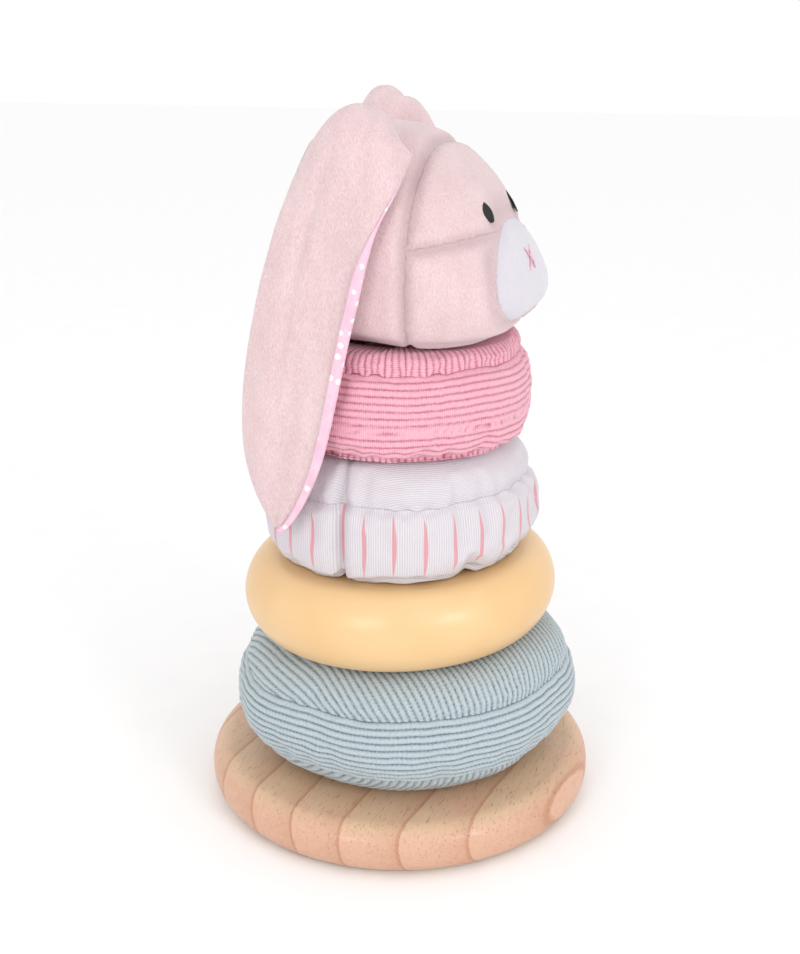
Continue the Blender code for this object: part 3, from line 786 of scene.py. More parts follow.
def grid_normals(points):
    """Outward normals of a grid closed round its first axis."""
    wrapped = np.concatenate([points[-1:], points, points[:1]], axis=0)
    round_it = wrapped[2:] - wrapped[:-2]
    along = np.gradient(points, axis=1)
    normal = np.cross(round_it, along)
    return normal / np.maximum(np.linalg.norm(normal, axis=-1, keepdims=True), 1e-12)


def build_panel(ring, part, start, end, seams, counts, relief, material, shape, swell):
    """One panel of a ring's cover between two seams, a closed thin body with its relief."""
    sides, rows = counts
    around = np.arange(sides) / sides * math.tau
    share = np.linspace(0.0, 1.0, rows)[None, :]
    low = start + seams[0](around)[:, None]
    high = end + seams[1](around)[:, None]
    angle = low + (high - low) * share
    points = shape(around, angle, swell)
    steps = np.linalg.norm(np.diff(points, axis=1), axis=-1)
    length = np.concatenate([np.zeros((sides, 1)), np.cumsum(steps, axis=1)], axis=1)
    whole = length[:, -1:]
    normal = grid_normals(points)
    depth, width = sizes().seam_depth, sizes().seam_width
    sink = depth * (bump(length, 0.0, width) + bump(length, whole, width))
    # groove is how low the cloth lies between the ribs; the knit's colour darkens with it as painted
    # shade.
    raised, uv, groove = relief(around[:, None], length, whole)
    outer = points + normal * (raised - sink)[..., None]
    inner_rows = np.unique(np.linspace(0, rows - 1, 14).astype(int))[::-1]
    inner = (points - normal * (SKIN + sink + sizes().rib_depth)[..., None])[:, inner_rows]
    table = np.concatenate([outer, inner], axis=1)
    table = leaned(table)
    table[..., 0] += HIGH_SIDE[0] * ring.slip
    table[..., 1] += HIGH_SIDE[1] * ring.slip
    uv = np.concatenate([uv, uv[:, inner_rows]], axis=1)
    groove = np.concatenate([groove, groove[:, inner_rows]], axis=1)
    mesh = closed_mesh(table, uv, groove)
    piece = new_piece(f"{ring.name}_{part}_cover", mesh, material)
    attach(piece, ring.name)
    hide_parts(f"{ring.name}_{part}")
    return piece


def rounded_rib(count):
    """How far below its crest a rib's surface lies, from 0 to 1, sharp between the ribs."""
    return 1.0 - np.abs(np.cos(math.pi * count)) ** 0.6


def closed(values):
    """Adds the column that closes the turn to a table round the ring."""
    return np.concatenate([values, values[:1]], axis=0)


def side_ribs(ring, ribs, depth):
    """Ribs running round the side band."""
    circumference = math.tau * ring.radius

    def relief(around, length, whole):
        count = length / whole * ribs - 0.5
        low = rounded_rib(count)
        turn = closed(around + np.zeros_like(length))
        turn[-1] = math.tau
        u = turn / math.tau * circumference
        uv = np.stack([u, closed(count + 0.5)], axis=-1)
        return -depth * low, uv, low
    return relief


def straight_ribs(direction, pitch, depth, first_radius, inward):
    """Straight ribs across a flat panel, which is then gathered over the ring."""
    def relief(around, length, whole):
        flat = first_radius - length if inward else first_radius + length
        across = flat * np.cos(around - direction) / pitch
        along = flat * np.sin(around - direction)
        low = rounded_rib(across)
        uv = np.stack([closed(along), closed(across + 0.5)], axis=-1)
        return -depth * low, uv, low
    return relief


def radial_ribs(ribs, depth):
    """Ribs gathered towards the hole, fading out where they crowd."""
    def relief(around, length, whole):
        count = around / math.tau * ribs + np.zeros_like(length)
        low = rounded_rib(count)
        turn = closed(count)
        turn[-1] = ribs
        uv = np.stack([closed(length), turn], axis=-1)
        return -depth * low, uv, low
    return relief


def plain_cloth(ring):
    """Smooth woven cloth, its lines running up the side."""
    circumference = math.tau * ring.radius

    def relief(around, length, whole):
        turn = closed(around + np.zeros_like(length))
        turn[-1] = math.tau
        uv = np.stack([turn / math.tau * circumference, closed(length)], axis=-1)
        return np.zeros_like(length), uv, np.zeros_like(length)
    return relief


def crossed_cloth():
    """Woven cloth laid flat, its lines straight across the panel."""
    def relief(around, length, whole):
        flat = HOLE_RADIUS + (whole - length)
        uv = np.stack([closed(flat * np.cos(around - CLOTH_TURN)),
                       closed(flat * np.sin(around - CLOTH_TURN))], axis=-1)
        return np.zeros_like(length), uv, np.zeros_like(length)
    return relief


def build_filling(ring, shape, swell, material):
    """The loose filling inside a ring's cover."""
    sides, rows = 96, 40
    around = np.arange(sides) / sides * math.tau
    angle = np.broadcast_to(np.arange(rows) / rows * math.tau, (sides, rows))
    points = shape(around, angle, swell)
    centre_r = 0.5 * (ring.radius + HOLE_RADIUS)
    centre_z = RING_BOTTOMS[ring.name] + 0.45 * ring.height
    centre = in_cylinder(around[:, None], np.full((sides, rows), centre_r), 0.0,
                         np.full((sides, rows), centre_z))
    points = centre + (points - centre) * FILLING_SHARE
    points = leaned(points)
    points[..., 0] += HIGH_SIDE[0] * ring.slip
    points[..., 1] += HIGH_SIDE[1] * ring.slip
    piece = new_piece(f"{ring.name}_filling", closed_mesh(points), material)
    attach(piece, ring.name)
    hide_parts(f"{ring.name}_stuffing")


def still(around):
    """A seam that runs level."""
    return np.zeros_like(around)


def filling_finish():
    """The filling's material, the same in every piece."""
    return bpy.data.materials.get("loose filling") or cotton_finish(
        "loose filling", (0.86, 0.86, 0.84), (0.72, 0.72, 0.70))


# ---------------------------------------------------------------- head

def dome(rise, widest, reach, shape):
    """Reach of the head at a height: full at its widest height, nothing at its ends."""
    (above_power, above_root), (below_power, below_root) = shape
    above = np.clip((rise - widest) / (HEAD_HEIGHT - widest), 0.0, 1.0)
    below = np.clip((widest - rise) / widest, 0.0, 1.0)
    upper = np.maximum(0.0, 1.0 - above ** above_power) ** (1.0 / above_root)
    lower = np.maximum(0.0, 1.0 - below ** below_power) ** (1.0 / below_root)
    return reach * np.where(rise > widest, upper, lower)


def face_squareness(rise):
    """Exponent of the face's section: flat across the muzzle, rounder from the eyes up."""
    return MUZZLE_SQUARE - (MUZZLE_SQUARE - SKULL_SQUARE) * smooth_step(rise, MUZZLE_RISE, EYE_RISE)


def head_points(directions):
    """Points of a unit sphere moved to the head's surface."""
    rise = HEAD_HEIGHT * 0.5 * (1.0 + np.clip(directions[:, 2], -1.0, 1.0))
    front = dome(rise, MUZZLE_RISE, HEAD_FRONT, FACE_SHAPE)
    side = dome(rise, SIDE_RISE, HEAD_SIDE, SKULL_SHAPE)
    back = dome(rise, SIDE_RISE, HEAD_BACK, SKULL_SHAPE)
    angle = np.arctan2(directions[:, 0], -directions[:, 1])
    ahead = np.cos(angle) > 0.0
    square = np.where(ahead, face_squareness(rise), SKULL_SQUARE)
    length = np.where(ahead, front, back)
    across, along = np.sin(angle), np.cos(angle)
    size = (np.abs(across) ** square + np.abs(along) ** square) ** (-1.0 / square)
    return np.stack([side * size * across, -length * size * along, HEAD_BOTTOM + rise], axis=-1)


def head_planes():
    """The planes that the head's seams lie in, each a point and a unit normal."""
    reach, rise = MUZZLE_SEAM_TOP
    rows = {
        "coronal": ((0.0, -CORONAL_SEAM, 0.0), (0.0, -1.0, 0.0)),
        "cheek": ((0.0, -CORONAL_SEAM, HEAD_BOTTOM + CHEEK_SEAM_RISE), (0.0, CHEEK_SEAM_SLOPE, 1.0)),
        "muzzle": ((0.0, -reach, HEAD_BOTTOM + rise), (0.0, -1.0, MUZZLE_SEAM_SLOPE)),
        "under": ((0.0, 0.0, HEAD_BOTTOM + UNDERSIDE_RISE), (0.0, 0.0, -1.0)),
        "middle": ((0.0, 0.0, 0.0), (1.0, 0.0, 0.0)),
    }
    return {name: (Vector(place), Vector(normal).normalized())
            for name, (place, normal) in rows.items()}


def plane_distance(points, plane):
    """How far points lie in front of a plane."""
    place, normal = plane
    return (points - np.array(place)) @ np.array(normal)


def head_relief(points, normals):
    """Sinks the seams, swells the panels between them and roughens the pile."""
    planes = head_planes()
    away = {name: plane_distance(points, plane) for name, plane in planes.items()}
    width, depth = sizes().seam_width * 1.2, sizes().head_seam_depth
    ahead = smooth_step(away["coronal"], -0.001, 0.002)
    on_face = ahead * (1.0 - smooth_step(away["muzzle"], -0.001, 0.001))
    below = 1.0 - smooth_step(away["cheek"], -0.002, 0.002)
    sink = bump(away["coronal"], 0.0, width)
    sink = np.maximum(sink, on_face * bump(away["cheek"], 0.0, width))
    sink = np.maximum(sink, 0.8 * bump(away["muzzle"], 0.0, 0.8 * width))
    sink = np.maximum(sink, on_face * below * bump(away["middle"], 0.0, width))
    sink = np.maximum(sink, 0.7 * bump(away["under"], 0.0, width))
    x, y, z = points.T
    lumps = (np.sin(190.0 * x + 1.3) * np.sin(170.0 * y + 0.4) * np.sin(150.0 * z + 2.0)) * 0.0006
    pile = np.sin(2300.0 * x + 900.0 * z) * np.sin(2100.0 * y + 700.0 * x) * np.sin(1900.0 * z)
    eyes = sum(bump(np.linalg.norm(points - np.array(head_surface(side * EYE_SIDE, EYE_RISE)), axis=1),
                    0.0, 0.0055) for side in (-1, 1))
    raised = lumps + 0.00008 * pile - depth * sink - sizes().eye_dent * eyes
    return points + normals * raised[:, None], sink


def head_ball():
    """The whole head's outer surface, open where the socket goes in."""
    bm = bmesh.new()
    bmesh.ops.create_uvsphere(bm, u_segments=240, v_segments=150, radius=1.0)
    mesh = mesh_of(bm)
    directions = coordinates(mesh)
    directions /= np.linalg.norm(directions, axis=1, keepdims=True)
    points = head_points(directions)
    across = np.hypot(points[:, 0], points[:, 1])
    hole = SOCKET_OUTSIDE + GAP
    near = (across < hole) & (points[:, 2] < HEAD_BOTTOM + UNDERSIDE_RISE)
    scale = np.where(near, hole / np.maximum(across, 1e-9), 1.0)
    points[:, :2] *= np.where(across > 1e-6, scale, 1.0)[:, None]
    set_coordinates(mesh, points)
    normals = np.empty(len(mesh.vertices) * 3)
    mesh.vertex_normals.foreach_get("vector", normals)
    points, sink = head_relief(points, normals.reshape(-1, 3))
    set_coordinates(mesh, sagged(points))
    # The seam sink also drives the plush's painted shade along the seams.
    add_attribute(mesh, "groove", sink)
    bm = bmesh.new()
    bm.from_mesh(mesh)
    centre = [vert for vert in bm.verts if math.hypot(vert.co.x, vert.co.y) < 0.5 * hole
              and vert.co.z < HEAD_BOTTOM + 0.5 * HEAD_HEIGHT]
    bmesh.ops.delete(bm, geom=centre, context="VERTS")
    bpy.data.meshes.remove(mesh)
    return bm


def sagged(points):
    """The head's rim settles lower over the pink ring's shoulder on one side."""
    rise = points[:, 2] - HEAD_BOTTOM
    around = np.arctan2(points[:, 1], points[:, 0])
    across = np.hypot(points[:, 0], points[:, 1])
    rim = smooth_step(across, 0.026, 0.034) * (1.0 - smooth_step(rise, 0.004, 0.020))
    drop = bump(turn_between(around, math.radians(212.0)), 0.0, 0.75)
    made = points.copy()
    made[:, 2] -= 0.0014 * rim * drop
    return made


def head_panel(name, node, keeps, material, ball):
    """One fabric panel: the head's skin cut back to the kept side of each plane."""
    bm = ball.copy()
    for (place, normal), side in keeps:
        bmesh.ops.bisect_plane(bm, geom=bm.verts[:] + bm.edges[:] + bm.faces[:], dist=1e-7,
                               plane_co=place, plane_no=normal * side, clear_inner=True)
    piece = new_piece(name, mesh_of(bm), material)
    wall = piece.modifiers.new("thickness", "SOLIDIFY")
    wall.thickness = SKIN
    wall.offset = -1.0
    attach(piece, "head")
    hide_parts(node)
    return piece


def head_surface(side, rise):
    """The point of the face at a distance to the bunny's left and a height."""
    full = np.array(max(1e-4, rise))
    front = dome(full, MUZZLE_RISE, HEAD_FRONT, FACE_SHAPE)
    width = dome(full, SIDE_RISE, HEAD_SIDE, SKULL_SHAPE)
    square = face_squareness(full)
    reach = front * (1.0 - (abs(side) / width) ** square) ** (1.0 / square)
    return Vector((side, -float(reach), HEAD_BOTTOM + rise))


def face_frame(side, rise):
    """A matrix on the face: local -Y points out of it, local Z up along it."""
    step = 0.001
    up = (head_surface(side, rise + step) - head_surface(side, rise - step)).normalized()
    left = (head_surface(side + step, rise) - head_surface(side - step, rise)).normalized()
    out = left.cross(up).normalized()
    across = up.cross(out)
    turn = Matrix((across, -out, up)).transposed().to_4x4()
    return Matrix.Translation(head_surface(side, rise)) @ turn


def thread_run(bm, start, end, radius, arch):
    """One raised stitch from point to point, in the plane of the face, as a thin bent rod."""
    start, end = Vector(start), Vector(end)
    run = end - start
    steps = 6
    made = bmesh.ops.create_circle(bm, cap_ends=False, segments=8, radius=radius)
    ring = made["verts"]
    turn = Vector((0.0, 0.0, 1.0)).rotation_difference(run.normalized()).to_matrix().to_4x4()
    bmesh.ops.transform(bm, verts=ring, matrix=Matrix.Translation(start) @ turn)
    edges = list({edge for vert in ring for edge in vert.link_edges})
    rows = [list(ring)]
    for step in range(1, steps + 1):
        grown = bmesh.ops.extrude_edge_only(bm, edges=edges)["geom"]
        verts = [item for item in grown if isinstance(item, bmesh.types.BMVert)]
        edges = [item for item in grown if isinstance(item, bmesh.types.BMEdge)
                 and all(vert in verts for vert in item.verts)]
        bmesh.ops.translate(bm, verts=verts, vec=run / steps)
        rows.append(verts)
    for step, verts in enumerate(rows):
        share = step / steps
        lift = arch * math.sin(math.pi * share)
        bmesh.ops.translate(bm, verts=verts, vec=(0.0, -lift, 0.0))
    for verts in (rows[0], rows[-1]):
        bmesh.ops.contextual_create(bm, geom=verts)


# ---------------------------------------------------------------- ears

def ear_half_width(drop):
    """Half the ear's width: gathered at the root, a leaf with a round tip below."""
    rest = np.clip(1.0 - drop / EAR_WIDEST_DROP, 0.0, 1.0)
    upper = EAR_HALF_WIDTH + (EAR_FOLD_HALF_WIDTH - EAR_HALF_WIDTH) * rest * rest
    part = np.clip((drop - EAR_WIDEST_DROP) / (EAR_DROP - EAR_WIDEST_DROP), 0.0, 0.9999)
    lower = EAR_HALF_WIDTH * (1.0 - part ** 3.2) ** (1.0 / 1.6)
    fluff = smooth_step(drop, 0.014, 0.040) * (1.0 - smooth_step(drop, 0.080, EAR_DROP))
    leaf = np.where(drop < EAR_WIDEST_DROP, upper, lower) + sizes().ear_fluff * fluff
    return EAR_ROOT_HALF_WIDTH + (leaf - EAR_ROOT_HALF_WIDTH) * smooth_step(drop, -0.034, 0.008)


def ear_surface(drop, across, lift, shift):
    """Points of the left ear: down its length, across it, off its middle surface."""
    turn = np.minimum(drop, 0.0) / -EAR_FOLD_RADIUS
    drop = np.maximum(drop, 0.0)
    fold_z = HEAD_BOTTOM + EAR_FOLD_RISE
    lean = math.atan(EAR_FLARE) * (1.0 - smooth_step(turn, 0.0, 0.5))
    x = EAR_FOLD_SIDE + EAR_FOLD_RADIUS * np.cos(turn) + EAR_FLARE * drop
    z = fold_z + EAR_FOLD_RADIUS * np.sin(turn) - drop
    swept = 1.0 - (1.0 - drop / EAR_DROP) ** 2
    back, up, tilt = shift
    upper = 1.0 - smooth_step(drop, 0.0, 0.045)
    y = -EAR_FRONT_OFFSET + EAR_SWEEP * swept + back * upper
    return np.stack([x + np.cos(turn + lean) * lift,
                     y + across * ear_half_width(np.where(turn > 0.0, -turn * EAR_FOLD_RADIUS, drop)),
                     z + np.sin(turn + lean) * lift + (up + tilt * across) * upper], axis=-1)


def ear_wrinkles(drop, across):
    """Lengthwise creases, a turned-out front edge, and the fold drawn in at both sides."""
    hang = smooth_step(drop, -0.004, 0.030)
    crease = 0.0007 * np.sin(2.4 * across + 0.6 + 22.0 * drop) * hang
    crease += 0.0004 * np.sin(6.1 * across - 31.0 * drop + 1.1) * hang
    crease -= 0.0012 * bump(across, 0.35 - 2.0 * drop, 0.14) * smooth_step(drop, -0.010, 0.015) \
        * (1.0 - smooth_step(drop, 0.050, 0.075))
    curl = np.clip(-(across + 0.55) / 0.45, 0.0, 1.0) ** 2 * smooth_step(drop, 0.004, 0.035)
    side = np.where(across < 0.0, 1.0, 0.75)
    drawn = -sizes().fold_draw * side * np.abs(across) ** 2.6 * (1.0 - smooth_step(drop, -0.006, 0.022))
    dent = -0.0020 * bump(across, -0.25, 0.20) * bump(drop, -0.012, 0.010)
    return crease + sizes().ear_curl * curl + drawn + dent


def ear_front_seam(drop):
    """The lining wraps round the front edge, more and more below the fold."""
    return math.pi + 0.10 - 0.72 * smooth_step(drop, 0.006, 0.036)


def build_ear_sheet(name, mirror, lining, material, replaced, shift):
    """One cloth of an ear: a part of its closed section, from root to tip, with a thickness."""
    rows, columns = 200, 90
    bm = bmesh.new()
    bmesh.ops.create_grid(bm, x_segments=columns, y_segments=rows, size=1.0)
    mesh = mesh_of(bm)
    co = coordinates(mesh)
    share = 0.5 * (co[:, 0] + 1.0)
    above = EAR_FOLD_RADIUS * ROOT_ANGLE + EAR_ROOT_TUCK
    drop = -above + (above + EAR_DROP * 0.9985) * 0.5 * (co[:, 1] + 1.0)
    seam = ear_front_seam(drop)
    first, last = (seam, math.tau - 0.12) if lining else (-0.12, seam)
    turn = first + (last - first) * share
    across = powered(np.cos(turn), 2.6)
    off = powered(np.sin(turn), 2.4)
    below = 0.0015 - 0.0009 * (1.0 - smooth_step(drop, -0.004, 0.020))
    lift = np.where(off > 0.0, 0.0020 * off, below * off) + ear_wrinkles(drop, across)
    points = ear_surface(drop, across, lift, shift)
    points[:, 0] *= mirror
    set_coordinates(mesh, points)
    bm = bmesh.new()
    bm.from_mesh(mesh)
    middle = Vector(np.mean(points, axis=0))
    outside = sum((face.calc_center_median() - middle).dot(face.normal) for face in bm.faces)
    if outside < 0.0:
        bmesh.ops.reverse_faces(bm, faces=bm.faces)
    bm.to_mesh(mesh)
    bm.free()
    piece = new_piece(name, mesh, material)
    wall = piece.modifiers.new("thickness", "SOLIDIFY")
    wall.thickness = 0.0007
    wall.offset = -1.0
    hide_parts(*replaced)
    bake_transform(piece)
    return piece


# ---------------------------------------------------------------- properties

def colour_property(name, description, default):
    return bpy.props.FloatVectorProperty(name=name, description=description, subtype="COLOR",
                                         size=3, min=0.0, max=1.0, default=default)


def length_property(name, description, default):
    return bpy.props.FloatProperty(name=name, description=description, default=default, min=0.0,
                                   unit="LENGTH", precision=5)


class ToyColours(bpy.types.PropertyGroup):
    """Colours of the toy's finishes."""
    pine: colour_property("Pine", "Pale wood between the growth bands", (0.69, 0.49, 0.32))
    # Pinker pine: random fibre patches, and painted light on the side faces.
    pine_side_light_and_fibre: colour_property("Pine, pinker", "Pinker wood", (0.7, 0.43, 0.3))
    pine_band: colour_property("Growth band", "Darker lines in the wood", (0.42, 0.17, 0.09))
    yellow: colour_property("Yellow paint", "Wooden ring's paint", (0.77, 0.52, 0.265))
    yellow_deep: colour_property("Yellow paint, deeper", "Thicker paint", (0.73, 0.465, 0.215))
    blue: colour_property("Blue knit", "Blue ring's ribs", (0.46, 0.52, 0.55))
    # Darkest blue: painted shade between the ribs and in the low stitches, and the darker random fuzz.
    blue_shade_and_fuzz: colour_property("Blue knit, deep", "Between the blue ribs", (0.12, 0.19, 0.22))
    white: colour_property("White cloth", "White ring's threads", (0.67, 0.64, 0.67))
    white_shade: colour_property("White cloth, shaded", "Between the threads", (0.55, 0.5, 0.55))
    print_pink: colour_property("Printed strokes", "Strokes on the white ring", (0.68, 0.27, 0.31))
    pink: colour_property("Pink knit", "Pink ring's ribs", (0.83, 0.43, 0.52))
    # Darkest pink: painted shade between the ribs and in the low stitches, and the darker random fuzz.
    pink_shade_and_fuzz: colour_property("Pink knit, deep", "Between the pink ribs", (0.5, 0.13, 0.2))
    plush: colour_property("Plush", "Bunny's plush", (0.82, 0.645, 0.65))
    # Also scaled darker for the painted shade along the head's seams.
    plush_deep: colour_property("Plush, deep", "Plush brushed the other way", (0.65, 0.445, 0.46))
    velour: colour_property("Muzzle", "White muzzle", (0.66, 0.63, 0.685))
    velour_deep: colour_property("Muzzle, shaded", "Shaded pile of the muzzle", (0.6, 0.56, 0.62))
    lining: colour_property("Ear lining", "Inside of the ears", (0.86, 0.6, 0.7))
    lining_deep: colour_property("Ear lining, deep", "Deeper pink", (0.8, 0.44, 0.58))
    lining_dot: colour_property("Lining dots", "Dots printed on the ear lining", (0.88, 0.85, 0.88))
    eye: colour_property("Eye thread", "Thread of the eyes", (0.01, 0.01, 0.012))
    nose: colour_property("Nose thread", "Thread of the nose", (0.8, 0.5, 0.57))


class ToySizes(bpy.types.PropertyGroup):
    """Sizes of the toy's details."""
    rib_depth: length_property("Rib depth", "Depth of the grooves between knit ribs", 0.00070)
    rib_pitch: length_property("Rib pitch", "Distance from rib to rib on flat panels", 0.0022)
    seam_depth: length_property("Seam depth", "How far a ring's seams are drawn in", 0.0011)
    seam_width: length_property("Seam width", "Half width of the valley along a seam", 0.0016)
    head_seam_depth: length_property("Head seam depth", "How far the head's seams sink", 0.0016)
    eye_dent: length_property("Eye dent", "How far the eyes' stitches draw the plush in", 0.0006)
    fold_draw: length_property("Fold draw", "How far an ear's fold is drawn in at its sides", 0.0088)
    ear_fluff: length_property("Ear fluff", "Extra half width where an ear is fullest", 0.0014)
    ear_curl: length_property("Ear curl", "How far the front edge of an ear turns out", 0.0030)
    stroke_length: length_property("Stroke length", "Length of a printed stroke", 0.0195)
    stroke_width: length_property("Stroke width", "Width of a printed stroke", 0.00135)
    stroke_height: length_property("Stroke height", "Middle of the strokes on the side", 0.0125)
    stroke_count: bpy.props.IntProperty(name="Strokes", description="Strokes round the white ring",
                                        default=30, min=1)
    side_ribs: bpy.props.IntProperty(name="Side ribs", description="Ribs up a ring's side",
                                     default=11, min=1)
    radial_ribs: bpy.props.IntProperty(name="Gathered ribs", default=120, min=1,
                                       description="Ribs round the pink ring's top and bottom")
    filling_pressure: bpy.props.FloatProperty(name="Filling pressure", default=4.0, min=0.0,
                                              description="How firmly the rings are stuffed")
    slack: bpy.props.FloatProperty(name="Slack", description="Spare cloth in a cover",
                                   default=0.04, min=0.0, max=0.3, subtype="FACTOR")
    swell_limit: length_property("Swell limit", "Furthest that the filling moves the cloth", 0.0022)
    lens: bpy.props.FloatProperty(name="Lens", description="Camera's focal length in millimetres",
                                  default=48.6, min=1.0)
    distance: length_property("Camera distance", "From the camera to the toy's middle", 0.390)


# ---------------------------------------------------------------- operators

class BuildOperator:
    """What the toy's operators have in common."""
    bl_options = {"REGISTER", "UNDO"}


class TOY_OT_base(BuildOperator, bpy.types.Operator):
    """Turned wooden base with its post and screw"""
    bl_idname = "toy.base"
    bl_label = "Base and post"

    def execute(self, context):
        seat, hole = POST_RADIUS + GAP, SCREW_RADIUS + GAP
        counterbore = SCREW_HEAD_RADIUS + GAP
        counterbore_top = SCREW_HEAD_ROOM + SCREW_HEAD_HEIGHT + GAP
        floor = BASE_HEIGHT - POST_SEAT
        rim = BASE_RADIUS - BASE_EDGE
        soft = 0.0004
        profile = [(counterbore, soft), (counterbore + soft, 0.0), (0.5 * rim, 0.0)]
        profile += rounding(rim, BASE_EDGE, BASE_EDGE, BASE_EDGE, -90, 0, 14)
        profile += rounding(rim, BASE_HEIGHT - BASE_EDGE, BASE_EDGE, BASE_EDGE, 0, 90, 14)
        profile += [(0.7 * rim, BASE_HEIGHT), (0.4 * rim, BASE_HEIGHT),
                    (seat + soft, BASE_HEIGHT), (seat, BASE_HEIGHT - soft), (seat, floor),
                    (hole, floor), (hole, counterbore_top), (counterbore, counterbore_top)]
        disc = new_piece("base_disc_wood", mesh_of(turned(profile, 180)), pine_finish())
        disc.data.set_sharp_from_angle(angle=math.radians(50.0))
        bottom = floor + GAP
        pilot_top = bottom + SCREW_INTO_POST + GAP
        profile = [(0.0, pilot_top), (hole, pilot_top), (hole, bottom), (POST_RADIUS - soft, bottom),
                   (POST_RADIUS, bottom + soft)]
        profile += rounding(POST_RADIUS - POST_TIP, POST_TOP - POST_TIP, POST_TIP, POST_TIP, 0, 90, 8)
        profile += [(0.0, POST_TOP)]
        post = new_piece("post_wood", mesh_of(turned(profile, 72)), pine_finish())
        post.data.set_sharp_from_angle(angle=math.radians(50.0))
        screw = self.build_screw()
        # How far each vertex faces up or down, which sets the pine's painted side light.
        for piece in (disc, post):
            normals = np.empty(len(piece.data.vertices) * 3)
            piece.data.vertex_normals.foreach_get("vector", normals)
            add_attribute(piece.data, "facing", normals.reshape(-1, 3)[:, 2])
        for piece, node, slot in ((disc, "base_disc", "pine"), (post, "post", "pine"),
                                  (screw, "post_screw", "screw_steel")):
            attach(piece, "base")
            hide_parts(node)
        return {"FINISHED"}

    def build_screw(self):
        head_top = SCREW_HEAD_ROOM + SCREW_HEAD_HEIGHT
        tip = BASE_HEIGHT - POST_SEAT + SCREW_INTO_POST
        turns, pitch, root = 7, 0.0022, 0.0014
        profile = [(0.0, SCREW_HEAD_ROOM + 0.0008), (0.0008, SCREW_HEAD_ROOM + 0.0004),
                   (0.0014, SCREW_HEAD_ROOM), (SCREW_HEAD_RADIUS - 0.0010, SCREW_HEAD_ROOM),
                   (SCREW_HEAD_RADIUS - 0.0003, SCREW_HEAD_ROOM + 0.0004),
                   (SCREW_HEAD_RADIUS, SCREW_HEAD_ROOM + 0.0011), (SCREW_HEAD_RADIUS, head_top),
                   (SCREW_RADIUS, head_top)]
        level = head_top + 0.0015
        for _ in range(turns):
            profile += [(SCREW_RADIUS, level), (root, level + 0.35 * pitch), (root, level + 0.8 * pitch)]
            level += pitch
        profile += [(SCREW_RADIUS * 0.9, level), (0.0, tip)]
        screw = new_piece("post_screw_steel", mesh_of(turned(profile, 32)), steel_finish())
        screw.data.set_sharp_from_angle(angle=math.radians(35.0))
        return screw


class TOY_OT_wooden_ring(BuildOperator, bpy.types.Operator):
    """Turned wooden ring in satin paint"""
    bl_idname = "toy.wooden_ring"
    bl_label = "Wooden ring"

    def execute(self, context):
        hole = POST_RADIUS + PLAY
        half = 0.5 * WOOD_HEIGHT
        middle = WOOD_BOTTOM + half
        rim = WOOD_RADIUS - WOOD_EDGE_WIDTH
        edge = WOOD_HOLE_EDGE
        profile = rounding(hole + edge, middle - half + edge, -edge, -edge, 0, 90, 6)
        profile += [(hole + 0.4 * (rim - hole), middle - half)]
        profile += rounding(rim, middle, WOOD_EDGE_WIDTH, half, -90, 90, 48, WOOD_ROUNDNESS)
        profile += [(hole + 0.4 * (rim - hole), middle + half)]
        profile += rounding(hole + edge, middle + half - edge, -edge, edge, 90, 0, 6)
        mesh = mesh_of(turned(profile, 200))
        set_coordinates(mesh, leaned(coordinates(mesh)))
        piece = new_piece("yellow_ring_wood", mesh, paint_finish())
        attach(piece, "yellow_ring")
        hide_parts("yellow_ring")
        return {"FINISHED"}


class FabricRingOperator(BuildOperator):
    """Steps shared by the three stuffed rings."""

    def panels(self, ring, shape, swell, finishes, slot, reliefs, seams, counts, fill):
        low, high, inner_high, inner_low = seam_angles(ring)
        low_seam, high_seam = seams
        rows = (
            ("band", low, high, (low_seam, high_seam)),
            ("top_panel", high, inner_high, (high_seam, still)),
            ("bottom_panel", inner_low, low + math.tau, (still, low_seam)),
            ("sleeve", inner_high, inner_low, (still, still)),
        )
        for part, start, end, edges in rows:
            build_panel(ring, part, start, end, edges, counts[part], reliefs[part], finishes[part],
                        shape, swell)
        build_filling(ring, shape, swell, filling_finish())


class TOY_OT_blue_ring(FabricRingOperator, bpy.types.Operator):
    """Widest stuffed ring, in blue rib knit"""
    bl_idname = "toy.blue_ring"
    bl_label = "Blue ring"

    def execute(self, context):
        ring = RINGS["blue"]
        ribs, depth, pitch = sizes().side_ribs, sizes().rib_depth, sizes().rib_pitch

        def dents(turn, angle):
            out = waves(turn, ((0.0005, 3, 0.4), (0.0004, 5, 1.9), (0.0003, 8, 0.2)))
            up = 0.0006 * np.sin(4 * turn + 1.0) * np.clip(np.sin(angle), 0.0, 1.0)
            return out * np.clip(np.cos(angle), 0.0, 1.0), -np.abs(up)

        shape = cover_shape(ring, dents)
        swell = simulate_cover(ring, shape)
        knit = knit_finish("blue rib knit", colours().blue, colours().blue_shade_and_fuzz,
                           stitch=0.00125, slant=1.1, depth=0.00009, contrast=0.14)
        flat = straight_ribs(KNIT_TURN, pitch, depth, 0.0600, True)
        under = straight_ribs(KNIT_TURN, pitch, depth, HOLE_RADIUS, False)
        reliefs = {"band": side_ribs(ring, ribs, depth), "top_panel": flat, "bottom_panel": under,
                   "sleeve": radial_ribs(SLEEVE_RIBS, 0.5 * depth)}
        seams = (lambda a: waves(a, ((0.02, 5, 0.7), (0.012, 11, 2.0))),
                 lambda a: waves(a, ((0.03, 2, 2.2), (0.012, 5, 0.5), (0.006, 11, 1.1))))
        counts = {"band": (360, 150), "top_panel": (720, 110), "bottom_panel": (600, 90),
                  "sleeve": (144, 20)}
        self.panels(ring, shape, swell, dict.fromkeys(reliefs, knit), "blue_knit", reliefs, seams,
                    counts, 0.85)
        return {"FINISHED"}


